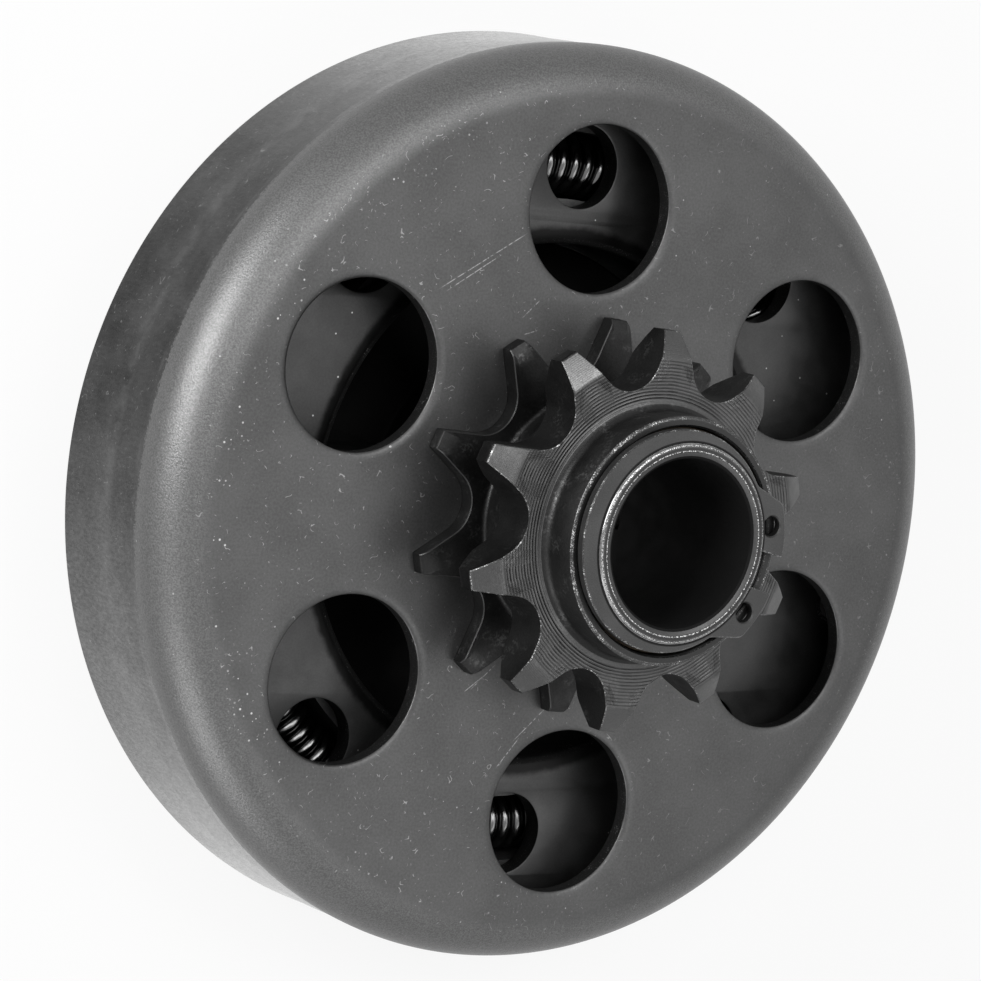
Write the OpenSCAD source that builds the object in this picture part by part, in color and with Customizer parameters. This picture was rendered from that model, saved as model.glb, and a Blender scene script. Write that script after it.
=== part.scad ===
// Centrifugal clutch with a ten tooth double sprocket, a pressed drum, a driver hub and two shoes.
// Millimetres. The open rim of the drum lies on z = 0 and the axis is Z, with the sprocket up.
// The shoes slide along +Y and -Y, and the driver's ears stand along +X and -X.

/* [Drum] */
// Outside diameter at the open rim
drum_od = 108; // [104:0.5:120]
// Height from the open rim to the outer face
drum_depth = 23.4; // [23:0.1:30]
// Sheet thickness
drum_wall = 2.2; // [1.6:0.1:2.8]
// Outer corner radius between wall and face
corner_r = 6.3; // [4:0.1:8]
// How much the outer radius shrinks from the rim to the corner
wall_draft = 0.5; // [0:0.1:1]
// Metal between a round hole and the tooth tips on one side, the corner on the other
vent_web = 2.6; // [2:0.1:5]
// Number of holes
vent_count = 6; // [4:1:6]
// Width of the rolled edge round each hole
vent_lip = 0.5; // [0.2:0.1:0.8]
// How far the drum is turned from the shoes, degrees
drum_turn = 3.5; // [0:0.5:30]

/* [Sprocket] */
// Number of teeth in each row
teeth = 10; // [9:1:11]
// Chain pitch
chain_pitch = 12.7; // [12.5:0.05:12.8]
// Diameter of the seat that a chain roller lies in
roller_seat_d = 8; // [7.8:0.05:8.2]
// Height of the tooth tips over the pitch circle
tip_h = 2.25; // [1.8:0.05:2.8]
// Thickness of the front row
row_w = 5.8; // [4.5:0.1:7]
// Height of the front row's lower face over the drum's face
row_lift = 7.6; // [6:0.1:9]
// Height of the mounting row's top over the drum's face
stub_lift = 2; // [1:0.1:3]
// How far the mounting row stands out inside the drum
stub_proud = 0.4; // [0.2:0.1:0.8]
// Wall of the neck between the rows
neck_wall = 1.65; // [1.2:0.05:1.9]
// Wall of the collar in front of the teeth
collar_wall = 1.15; // [1:0.05:1.5]
// Height of the collar's face over the drum's face
collar_lift = 18.2; // [17:0.05:19]
// Radius of the fillet at the foot of the collar
collar_fillet = 1.1; // [0.5:0.1:2]
// Height that the tooth chamfer falls over the tooth
tooth_fall = 1.8; // [1:0.1:2.2]
// Distance from the pitch circle down to where the tooth chamfer starts
fall_start = 2.05; // [0.5:0.05:3]

/* [Bearing] */
// Wall thickness of the bushing
bush_wall = 1.6; // [1.2:0.1:1.9]
// Running clearance on the radius between hub and bushing
run_clear = 0.05; // [0.02:0.01:0.08]
// Thickness of the rear thrust washer
rear_washer_t = 1.2; // [0.8:0.1:1.6]
// Thickness of the front thrust washer
front_washer_t = 1; // [0.6:0.1:1.4]
// End play between turning and standing faces
end_play = 0.2; // [0.1:0.05:0.3]

/* [Hub] */
// Bore for the engine shaft
bore_d = 19.05; // [18:0.05:20]
// Wall of the tube
hub_wall = 1.675; // [1.4:0.025:2]
// Height of the tube's end over the circlip
nose_h = 0.3; // [0.3:0.05:1.5]
// Width of the shoulder that the rear thrust washer lies on
shoulder_w = 5.8; // [3:0.1:7]
// Gap between the hub's rear face and the plane of the open rim
hub_recess = 0.4; // [0.2:0.1:1]
// Width of the keyway
key_w = 4.76; // [4:0.01:5]
// Depth of the keyway from the bore
key_depth = 2.4; // [2:0.1:3]
// Width of the two driving ears
ear_w = 10; // [8:0.5:14]
// Gap between the end of an ear and the drum
ear_end_gap = 5.3; // [2:0.1:7]
// Thickness of the hub's rear disc
disc_t = 5; // [3:0.1:6]

/* [Circlip] */
// Thickness
clip_t = 1.1; // [0.8:0.05:1.3]
// Width of the ring opposite its gap
clip_w = 2.85; // [2.4:0.05:3.1]
// How far the ring's outer circle lies off the axis, away from the gap
clip_shift = 0.95; // [0.5:0.05:1.1]
// Depth of its groove in the hub tube
clip_groove = 0.65; // [0.4:0.05:0.7]
// How far its ears stand out past the radius of the ring
clip_ear_h = 1.95; // [1.8:0.05:2.6]
// Half of the gap between its ears
clip_half_gap = 2.1; // [1.5:0.1:2.6]
// Diameter of the eyes for the pliers
clip_eye_d = 2.3; // [1.8:0.1:2.5]
// How far the gap is turned from +X, degrees
clip_turn = -13.5; // [-45:0.5:45]

/* [Shoes] */
// Gap between shoe and drum at rest
shoe_gap = 1.1; // [0.8:0.1:2]
// Width of the shoes from their inner to their outer face
shoe_w = 19.8; // [18:0.1:21]
// Depth of the shoe's front below the drum's outer face
shoe_sink = 7.7; // [6.5:0.1:8]
// Thickness of the cover plate
cover_t = 2.5; // [2:0.1:3]
// Gap between the shoe's rear face and the plane of the open rim
shoe_recess = 0.7; // [0.5:0.1:1.5]
// Gap between a shoe's end and the driving ear
ear_gap = 0.3; // [0.2:0.05:0.6]
// Diameter of the round windows
window_d = 9.7; // [8:0.1:10.5]
// Angle between neighbouring windows
window_step = 45; // [40:1:50]
// Width of the rolled inner edge of the cover
roll_w = 2.4; // [1:0.1:3]
// Depth of that edge
roll_fall = 0.7; // [0.3:0.1:1]
// Angle between neighbouring rivets
rivet_step = 51; // [45:0.5:52]
// Diameter of the rivets
rivet_d = 4; // [3:0.1:4.4]
// Diameter of the countersunk rivet heads
rivet_head_d = 5.4; // [4.8:0.1:5.8]

/* [Garter spring] */
// Distance of the spring's centre line from the outer face of the shoes
ring_inset = 10.8; // [10:0.1:11.5]
// Outside diameter of the coil
coil_d = 7.2; // [6:0.1:7.6]
// Wire diameter
wire_d = 1.6; // [1.2:0.05:1.7]
// Distance from turn to turn
coil_pitch = 1.82; // [1.75:0.01:2.5]
// Side clearance between coil and groove
coil_side = 0.35; // [0.2:0.05:0.5]
// Clearance over and under the coil
coil_end = 0.3; // [0.2:0.05:0.5]

/* [Hidden] */

$fn = 96;
past = 1;

// Pitch circle and tooth tips, which the drum's holes keep clear of
pitch_r = chain_pitch / (2 * sin(180 / teeth));
tip_r = pitch_r + tip_h;

// Drum
rim_r = drum_od / 2;
wall_r = rim_r - wall_draft;
inner_r = wall_r - drum_wall;
inner_corner_r = corner_r - drum_wall;
web_z = drum_depth - drum_wall;
face_r = wall_r - corner_r;
vent_ring_r = (face_r + tip_r) / 2;
vent_r = (face_r - tip_r) / 2 - vent_web;
edge_break = 0.3;

// Fits round the shaft
bore_r = bore_d / 2;
hub_r = bore_r + hub_wall;
bush_in_r = hub_r + run_clear;
bush_r = bush_in_r + bush_wall;

// Sprocket
seat_r = roller_seat_d / 2;
fall_start_r = pitch_r - fall_start;
tooth_turn = 15.1;
tooth_half_w = pitch_r * sin(180 / teeth) - seat_r + 0.1;
flank_r = 6;
flank_foot_r = pitch_r * cos(180 / teeth) - 0.5;
row_z = drum_depth + row_lift;
row_top_z = row_z + row_w;
stub_z = web_z - stub_proud;
stub_top_z = drum_depth + stub_lift;
stub_chamfer = 0.6;
collar_z = drum_depth + collar_lift;
collar_break = 0.2;
collar_r = bush_r + collar_wall;
neck_r = bush_r + neck_wall;

// Hub, bearing and circlip
hub_z = hub_recess;
hub_chamfer = 0.4;
rear_washer_top_z = stub_z - end_play;
shoulder_z = rear_washer_top_z - rear_washer_t;
boss_r = hub_r + shoulder_w;
clip_z = collar_z + end_play;
clip_in_r = hub_r - clip_groove;
clip_r = clip_in_r + clip_w - clip_shift;
clip_ear_r = clip_r + clip_ear_h;
groove_side = 0.05;
hub_top_z = clip_z + clip_t + nose_h;
nose_break = 0.15;
mouth_w = 0.7;
mouth_h = 0.25;
front_washer_z = clip_z - front_washer_t;
bush_top_z = front_washer_z - end_play;
washer_bore_gap = 0.1;
collar_washer_gap = 0.4;

// Shoes and spring
shoe_r = inner_r - shoe_gap;
shoe_in_r = shoe_r - shoe_w;
ring_r = shoe_r - ring_inset;
turns = round(2 * PI * ring_r / coil_pitch);
ear_reach = inner_r - ear_end_gap;
shoe_z = shoe_recess;
shoe_top_z = drum_depth - shoe_sink;
cover_z = shoe_top_z - cover_t;
shoe_end_y = ear_w / 2 + ear_gap;
groove_in_r = ring_r - coil_d / 2 - coil_side;
groove_out_r = ring_r + coil_d / 2 + coil_side;
coil_z = cover_z - coil_end - coil_d / 2;
groove_z = coil_z - coil_d / 2 - coil_end;
slot_gap = 0.4;
disc_r = shoe_in_r - 0.5;
rivet_ring_r = (groove_out_r + shoe_r) / 2 + 0.4;
rivet_head_h = 1;
rivet_count = 4;
steel_dark = [0.23, 0.23, 0.24];
steel_mid = [0.36, 0.36, 0.37];
steel_bright = [0.62, 0.62, 0.64];
bronze = [0.55, 0.42, 0.24];

// A turned ring with both ends' edges broken
module turned_ring(r_out, r_in, z_low, z_high, edge) {
    rotate_extrude()
        polygon([
            [r_in + edge, z_low], [r_out - edge, z_low], [r_out, z_low + edge],
            [r_out, z_high - edge], [r_out - edge, z_high], [r_in + edge, z_high],
            [r_in, z_high - edge], [r_in, z_low + edge]
        ]);
}

// Drum

module drum_section() {
    corner_z = drum_depth - corner_r;
    inner_corner_z = web_z - inner_corner_r;
    difference() {
        union() {
            polygon([
                [0, 0], [rim_r - edge_break, 0], [rim_r, edge_break], [wall_r, corner_z], [0, corner_z]
            ]);
            square([face_r, drum_depth]);
            translate([face_r, corner_z])
                circle(corner_r);
        }
        translate([0, -past])
            square([inner_r, inner_corner_z + past]);
        translate([0, -past])
            square([inner_r - inner_corner_r, web_z + past]);
        translate([inner_r - inner_corner_r, inner_corner_z])
            circle(inner_corner_r);
        polygon([[0, -past], [inner_r + edge_break + past, -past], [inner_r, edge_break], [0, edge_break]]);
    }
}

module vent() {
    translate([0, 0, web_z - past])
        cylinder(h = drum_wall + 2 * past, r = vent_r);
    translate([0, 0, drum_depth - vent_lip])
        cylinder(h = vent_lip + past, r1 = vent_r, r2 = vent_r + vent_lip + past);
}

module drum() {
    color(steel_dark)
        difference() {
            rotate_extrude()
                drum_section();
            for (k = [0 : vent_count - 1])
                rotate(drum_turn + 90 + k * 360 / vent_count)
                    translate([vent_ring_r, 0, 0])
                        vent();
            translate([0, 0, web_z - past])
                linear_extrude(drum_wall + 2 * past)
                    tooth_row();
        }
}

// Sprocket

// One row of teeth: convex flanks above the pitch circle, round roller seats below it
module tooth_row() {
    difference() {
        union() {
            circle(flank_foot_r);
            for (k = [0 : teeth - 1])
                rotate(tooth_turn + k * 360 / teeth)
                    intersection() {
                        translate([flank_foot_r, tooth_half_w - flank_r])
                            circle(flank_r);
                        translate([flank_foot_r, flank_r - tooth_half_w])
                            circle(flank_r);
                        translate([flank_foot_r - past, -tooth_half_w])
                            square([tip_r, 2 * tooth_half_w]);
                    }
        }
        for (k = [0 : teeth - 1])
            rotate(tooth_turn + (k + 0.5) * 360 / teeth)
                translate([pitch_r, 0])
                    circle(seat_r);
    }
}

// What the lathe leaves of the front row: both sides fall away towards the tips
module front_row_section() {
    mid_r = (fall_start_r + tip_r) / 2;
    polygon([
        [0, row_z], [fall_start_r, row_z], [mid_r, row_z + tooth_fall * 0.45], [tip_r, row_z + tooth_fall],
        [tip_r, row_top_z - tooth_fall], [mid_r, row_top_z - tooth_fall * 0.45],
        [fall_start_r, row_top_z], [0, row_top_z]
    ]);
}

module stub_section() {
    polygon([
        [0, stub_z], [tip_r, stub_z], [tip_r, stub_top_z - stub_chamfer],
        [tip_r - stub_chamfer, stub_top_z], [0, stub_top_z]
    ]);
}

module sprocket_core_section() {
    difference() {
        union() {
            translate([0, stub_z])
                square([neck_r, row_z - stub_z + past]);
            translate([0, row_z])
                square([collar_r + collar_fillet, row_w + collar_fillet]);
            translate([0, row_top_z])
                square([collar_r - collar_break, collar_z - row_top_z]);
            translate([0, row_top_z])
                square([collar_r, collar_z - row_top_z - collar_break]);
        }
        translate([collar_r + collar_fillet, row_top_z + collar_fillet])
            circle(collar_fillet);
        translate([0, stub_z - past])
            square([bush_r, collar_z - stub_z + 2 * past]);
        polygon([
            [0, collar_z - collar_break], [bush_r, collar_z - collar_break],
            [bush_r + collar_break + past, collar_z + past], [0, collar_z + past]
        ]);
    }
}

module sprocket() {
    color(steel_mid)
        difference() {
            union() {
                intersection() {
                    translate([0, 0, row_z])
                        linear_extrude(row_w)
                            tooth_row();
                    rotate_extrude()
                        front_row_section();
                }
                intersection() {
                    translate([0, 0, stub_z])
                        linear_extrude(stub_top_z - stub_z)
                            tooth_row();
                    rotate_extrude()
                        stub_section();
                }
                rotate_extrude()
                    sprocket_core_section();
            }
            translate([0, 0, stub_z - past])
                cylinder(h = collar_z - stub_z - collar_break + past, r = bush_r);
        }
}

// Bearing

module bushing() {
    color(bronze)
        turned_ring(bush_r, bush_in_r, stub_z, bush_top_z, 0.2);
}

module rear_thrust_washer() {
    color(steel_bright)
        turned_ring(boss_r - 0.5, hub_r + washer_bore_gap, shoulder_z, rear_washer_top_z, 0.1);
}

module front_thrust_washer() {
    color(steel_bright)
        turned_ring(bush_r - collar_washer_gap, hub_r + washer_bore_gap, front_washer_z, clip_z, 0.1);
}

// Hub

module hub_section() {
    difference() {
        union() {
            polygon([
                [0, hub_z], [hub_r, hub_z], [hub_r, hub_top_z - nose_break],
                [hub_r - nose_break, hub_top_z], [0, hub_top_z]
            ]);
            translate([0, hub_z])
                square([boss_r, shoulder_z - hub_z]);
            polygon([
                [0, hub_z], [disc_r - edge_break, hub_z], [disc_r, hub_z + edge_break],
                [disc_r, hub_z + disc_t - edge_break], [disc_r - edge_break, hub_z + disc_t],
                [0, hub_z + disc_t]
            ]);
        }
        translate([0, hub_z - past])
            square([bore_r, hub_top_z - hub_z + 2 * past]);
        polygon([
            [0, hub_z - past], [bore_r + hub_chamfer + past, hub_z - past],
            [bore_r, hub_z + hub_chamfer], [0, hub_z + hub_chamfer]
        ]);
        polygon([
            [0, hub_top_z - mouth_h], [bore_r, hub_top_z - mouth_h],
            [bore_r + mouth_w, hub_top_z], [bore_r + mouth_w, hub_top_z + past], [0, hub_top_z + past]
        ]);
        translate([clip_in_r, clip_z - groove_side])
            square([hub_r, clip_t + 2 * groove_side]);
    }
}

// Ears that reach between the shoes, forked so that the garter spring passes through them
module driving_ears() {
    difference() {
        intersection() {
            translate([0, 0, hub_z])
                cylinder(h = shoe_top_z - hub_z, r = ear_reach);
            translate([-ear_reach, -ear_w / 2, hub_z])
                cube([2 * ear_reach, ear_w, shoe_top_z - hub_z]);
        }
        rotate_extrude()
            translate([groove_in_r - slot_gap, groove_z - slot_gap])
                square([ear_reach, cover_z - groove_z + 2 * slot_gap]);
        translate([0, 0, hub_z - past])
            cylinder(h = drum_depth, r = (hub_r + boss_r) / 2);
    }
}

module hub() {
    keyway_top_z = shoulder_z - 1;
    color(steel_dark)
        difference() {
            union() {
                rotate_extrude()
                    hub_section();
                driving_ears();
            }
            translate([0, -key_w / 2, hub_z - past])
                cube([bore_r + key_depth, key_w, keyway_top_z - hub_z + past]);
        }
}

// Circlip

module circlip() {
    eye_r = (clip_in_r + clip_ear_r) / 2;
    eye_turn = 23.9;
    foot_half = 10.6;
    tip_half = 7.35;
    color(steel_bright)
        rotate(clip_turn)
            translate([0, 0, clip_z])
                linear_extrude(clip_t)
                    difference() {
                        union() {
                            translate([-clip_shift, 0])
                                circle(clip_r);
                            intersection() {
                                circle(clip_ear_r);
                                polygon([
                                    [0, -foot_half], [clip_ear_r, -tip_half],
                                    [clip_ear_r, tip_half], [0, foot_half]
                                ]);
                            }
                        }
                        circle(clip_in_r);
                        translate([0, -clip_half_gap])
                            square([clip_ear_r + past, 2 * clip_half_gap]);
                        for (s = [-1, 1])
                            rotate(s * eye_turn)
                                translate([eye_r, 0])
                                    circle(d = clip_eye_d, $fn = 32);
                    }
}

// Garter spring: one endless wire, wound round a ring

wire_sides = 5;
turn_steps = 8;

function ring_point(angle, phase, reach, side) =
    let (r = ring_r + reach * cos(phase), z = coil_z + reach * sin(phase))
        [r * cos(angle) - side * sin(angle), r * sin(angle) + side * cos(angle), z];

module garter_spring() {
    steps = turns * turn_steps;
    coil_mid_r = (coil_d - wire_d) / 2;
    wire_r = wire_d / 2;
    points = [
        for (k = [0 : steps - 1]) for (q = [0 : wire_sides - 1])
            let (w = q * 360 / wire_sides)
                ring_point(k * 360 / steps, k * 360 / turn_steps,
                    coil_mid_r + wire_r * cos(w), wire_r * sin(w))
    ];
    faces = [
        for (k = [0 : steps - 1]) for (q = [0 : wire_sides - 1])
            let (
                k2 = (k + 1) % steps, q2 = (q + 1) % wire_sides,
                a = k * wire_sides + q, b = k * wire_sides + q2,
                c = k2 * wire_sides + q2, d = k2 * wire_sides + q
            )
            each [[a, b, c], [a, c, d]]
    ];
    color(steel_bright)
        polyhedron(points = points, faces = faces, convexity = 10);
}

// Shoes: side 1 lies towards +Y and side -1 towards -Y

module half_ring(side) {
    intersection() {
        children();
        rotate(side > 0 ? 0 : 180)
            translate([-drum_od, shoe_end_y, -past])
                cube([2 * drum_od, drum_od, drum_depth]);
    }
}

// A countersunk rivet, and the hole that it fills
module rivet_body(z_low, z_high) {
    head_r = rivet_head_d / 2;
    shank_r = rivet_d / 2;
    rotate_extrude($fn = 48)
        polygon([
            [0, z_low], [head_r, z_low], [shank_r, z_low + rivet_head_h],
            [shank_r, z_high - rivet_head_h], [head_r, z_high], [0, z_high]
        ]);
}

module rivet_place(side, index) {
    rotate((side > 0 ? 90 : 270) + (index - (rivet_count - 1) / 2) * rivet_step)
        translate([rivet_ring_r, 0, 0])
            rivet_body(shoe_z, shoe_top_z);
}

module shoe_block(side) {
    color(steel_mid)
        difference() {
            half_ring(side)
                rotate_extrude()
                    difference() {
                        polygon([
                            [shoe_in_r + edge_break, shoe_z], [shoe_r - edge_break, shoe_z],
                            [shoe_r, shoe_z + edge_break], [shoe_r, cover_z], [shoe_in_r, cover_z],
                            [shoe_in_r, shoe_z + edge_break]
                        ]);
                        translate([groove_in_r, groove_z])
                            square([groove_out_r - groove_in_r, cover_z - groove_z + past]);
                    }
            for (i = [0 : rivet_count - 1])
                rivet_place(side, i);
        }
}

module shoe_cover(side) {
    roll_r = (roll_w * roll_w + roll_fall * roll_fall) / (2 * roll_fall);
    color(steel_dark)
        difference() {
            half_ring(side)
                rotate_extrude()
                    difference() {
                        polygon([
                            [shoe_in_r, cover_z], [shoe_r, cover_z], [shoe_r, shoe_top_z - edge_break],
                            [shoe_r - edge_break, shoe_top_z], [shoe_in_r, shoe_top_z]
                        ]);
                        difference() {
                            translate([shoe_in_r - past, shoe_top_z - roll_fall - past])
                                square([roll_w + past, roll_fall + 2 * past]);
                            translate([shoe_in_r + roll_w, shoe_top_z - roll_r])
                                circle(roll_r);
                            translate([shoe_in_r, shoe_top_z - roll_fall - 2 * past])
                                square([roll_w, 2 * past]);
                        }
                    }
            for (w = [-1 : 1])
                rotate((side > 0 ? 90 : 270) + w * window_step)
                    translate([ring_r, 0, cover_z - past])
                        cylinder(h = cover_t + 2 * past, d = window_d, $fn = 64);
            for (i = [0 : rivet_count - 1])
                rivet_place(side, i);
        }
}

module shoe_rivet(side, index) {
    color(steel_bright)
        rivet_place(side, index);
}

drum();
sprocket();
bushing();
hub();
rear_thrust_washer();
front_thrust_washer();
circlip();
garter_spring();
shoe_block(1);  // shoe_a_block
shoe_block(-1);  // shoe_b_block
shoe_cover(1);  // shoe_a_cover
shoe_cover(-1);  // shoe_b_cover
shoe_rivet(1, 0);  // shoe_a_rivet_1
shoe_rivet(1, 1);  // shoe_a_rivet_2
shoe_rivet(1, 2);  // shoe_a_rivet_3
shoe_rivet(1, 3);  // shoe_a_rivet_4
shoe_rivet(-1, 0);  // shoe_b_rivet_1
shoe_rivet(-1, 1);  // shoe_b_rivet_2
shoe_rivet(-1, 2);  // shoe_b_rivet_3
shoe_rivet(-1, 3);  // shoe_b_rivet_4
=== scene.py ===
"""Dresses a centrifugal clutch: a black pressed drum, a double sprocket, a hub and two shoes.

Sizes are in millimetres and are turned into metres when a mesh is made. The drum's open rim lies on
z = 0, the shaft axis is Z, and the shoes slide along +Y and -Y.
"""
import logging
import math
from collections.abc import Callable, Sequence
from dataclasses import dataclass, field
from enum import Enum, IntEnum

import bmesh
import bpy
from mathutils import Matrix, Vector
from mathutils.geometry import tessellate_polygon


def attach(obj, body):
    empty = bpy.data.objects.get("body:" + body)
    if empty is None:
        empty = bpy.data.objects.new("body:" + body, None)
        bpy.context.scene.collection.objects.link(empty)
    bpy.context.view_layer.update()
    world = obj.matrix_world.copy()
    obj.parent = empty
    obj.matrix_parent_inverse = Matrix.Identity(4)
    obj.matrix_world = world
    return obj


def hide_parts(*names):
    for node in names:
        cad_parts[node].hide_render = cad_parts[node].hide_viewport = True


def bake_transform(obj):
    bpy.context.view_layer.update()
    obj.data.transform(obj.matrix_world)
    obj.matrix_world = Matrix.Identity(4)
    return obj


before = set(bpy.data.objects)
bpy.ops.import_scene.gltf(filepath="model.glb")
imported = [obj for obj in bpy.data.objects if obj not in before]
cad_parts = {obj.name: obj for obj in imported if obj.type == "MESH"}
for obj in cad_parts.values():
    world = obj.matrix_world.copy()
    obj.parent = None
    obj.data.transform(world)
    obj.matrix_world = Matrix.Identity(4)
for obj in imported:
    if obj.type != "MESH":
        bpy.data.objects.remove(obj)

LOG = logging.getLogger("clutch")
MM = 0.001
TAU = 2 * math.pi

Flat = tuple[float, float]
Spot = tuple[float, float, float]
Colour = tuple[float, float, float, float]


def grey(level: float, warmth: float = 0.0) -> Colour:
    """A grey colour, a touch warm or cold."""
    return (level * (1 + warmth), level, level * (1 - warmth), 1.0)


def polar(radius: float, angle: float, z: float) -> Spot:
    """A point from its radius, its angle in radians and its height."""
    return (radius * math.cos(angle), radius * math.sin(angle), z)


def arc(centre: Flat, radius: float, start: float, end: float, steps: int) -> list[Flat]:
    """Points along an arc, both ends included, angles in radians."""
    angles = [start + (end - start) * k / steps for k in range(steps + 1)]
    return [(centre[0] + radius * math.cos(a), centre[1] + radius * math.sin(a)) for a in angles]


def inset(loop: Sequence[Flat], distance: float, closed: bool = True) -> list[Flat]:
    """Moves each point of an anticlockwise outline inwards along its normal.

    Args:
        loop: The outline.
        distance: How far the points move, negative for outwards.
        closed: Whether the last point joins the first one.

    Returns:
        The moved points, as many as there were.
    """
    moved = []
    last = len(loop) - 1
    for k, point in enumerate(loop):
        before = loop[k - 1] if closed or k > 0 else point
        after = loop[(k + 1) % len(loop)] if closed or k < last else point
        dx, dy = after[0] - before[0], after[1] - before[1]
        length = math.hypot(dx, dy) or 1.0
        moved.append((point[0] - distance * dy / length, point[1] + distance * dx / length))
    return moved


def at_height(loop: Sequence[Flat], z: float) -> list[Spot]:
    """Lifts a flat outline to one height."""
    return [(x, y, z) for x, y in loop]


def circle(radius: float, z: float, count: int, centre: Flat = (0.0, 0.0)) -> list[Spot]:
    """A horizontal ring of evenly spaced points."""
    return [
        (centre[0] + radius * math.cos(TAU * k / count), centre[1] + radius * math.sin(TAU * k / count), z)
        for k in range(count)
    ]


class Signal:
    """A node's output whose arithmetic adds Math nodes to the same tree."""

    def __init__(self, board: "Board", socket: bpy.types.NodeSocket) -> None:
        """Wraps one output socket of a board's tree."""
        self.board = board
        self.socket = socket

    def _math(self, operation: str, *values: "Signal | float") -> "Signal":
        """Adds one Math node and returns its result."""
        return self.board.value("ShaderNodeMath", {"operation": operation}, dict(enumerate(values)))

    def __add__(self, other: "Signal | float") -> "Signal":
        """This plus other."""
        return self._math("ADD", self, other)

    __radd__ = __add__

    def __sub__(self, other: "Signal | float") -> "Signal":
        """This minus other."""
        return self._math("SUBTRACT", self, other)

    def __rsub__(self, other: float) -> "Signal":
        """Other minus this."""
        return self._math("SUBTRACT", other, self)

    def __mul__(self, other: "Signal | float") -> "Signal":
        """This times other."""
        return self._math("MULTIPLY", self, other)

    __rmul__ = __mul__

    def __truediv__(self, other: "Signal | float") -> "Signal":
        """This over other."""
        return self._math("DIVIDE", self, other)

    def __pow__(self, other: float) -> "Signal":
        """This to the power other."""
        return self._math("POWER", self, other)

    def sine(self) -> "Signal":
        """The sine of this."""
        return self._math("SINE", self)

    def cosine(self) -> "Signal":
        """The cosine of this."""
        return self._math("COSINE", self)

    def size(self) -> "Signal":
        """This without its sign."""
        return self._math("ABSOLUTE", self)

    def greatest(self, other: "Signal | float") -> "Signal":
        """The greater of this and other."""
        return self._math("MAXIMUM", self, other)

    def rise(self, low: float, high: float) -> "Signal":
        """Goes smoothly from 0 at low to 1 at high; low may be the greater one."""
        settings = {"interpolation_type": "SMOOTHSTEP"}
        return self.board.value("ShaderNodeMapRange", settings, {0: self, 1: low, 2: high, 3: 0.0, 4: 1.0})

    def band(self, middle: float, half: float) -> "Signal":
        """1 at middle, falling smoothly to 0 at half on each side."""
        return (self - middle).size().rise(half, 0.0)


class Board:
    """A node tree with one method that adds any node, its settings first and then its sockets."""

    def __init__(self, tree: bpy.types.NodeTree) -> None:
        """Starts on a tree, as it is."""
        self.tree = tree

    def node(self, kind: str, settings: dict | None = None, sockets: dict | None = None) -> bpy.types.Node:
        """Adds a node.

        Args:
            kind: The node's type.
            settings: Attributes of the node. The name stops holds a ramp's positions and colours.
            sockets: Values or links for its inputs, by name or place.

        Returns:
            The node.
        """
        made = self.tree.nodes.new(kind)
        for name, value in (settings or {}).items():
            if name == "stops":
                self._set_stops(made.color_ramp, value)
            else:
                setattr(made, name, value)
        for name, value in (sockets or {}).items():
            target = made.inputs[name]
            if isinstance(value, Signal):
                self.tree.links.new(value.socket, target)
            elif isinstance(value, bpy.types.NodeSocket):
                self.tree.links.new(value, target)
            else:
                target.default_value = value
        return made

    @staticmethod
    def _set_stops(ramp: bpy.types.ColorRamp, stops: Sequence[tuple[float, Colour]]) -> None:
        """Gives a colour ramp its stops."""
        while len(ramp.elements) < len(stops):
            ramp.elements.new(0.5)
        for element, (place, colour) in zip(ramp.elements, stops):
            element.position = place
            element.color = colour

    def value(
        self, kind: str, settings: dict | None = None, sockets: dict | None = None, output: int | str = 0
    ) -> Signal:
        """Adds a node and returns one of its outputs as a signal."""
        return Signal(self, self.node(kind, settings, sockets).outputs[output])

    def link(self, source: Signal | bpy.types.NodeSocket, target: bpy.types.NodeSocket) -> None:
        """Joins an output to an input."""
        self.tree.links.new(source.socket if isinstance(source, Signal) else source, target)


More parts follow.
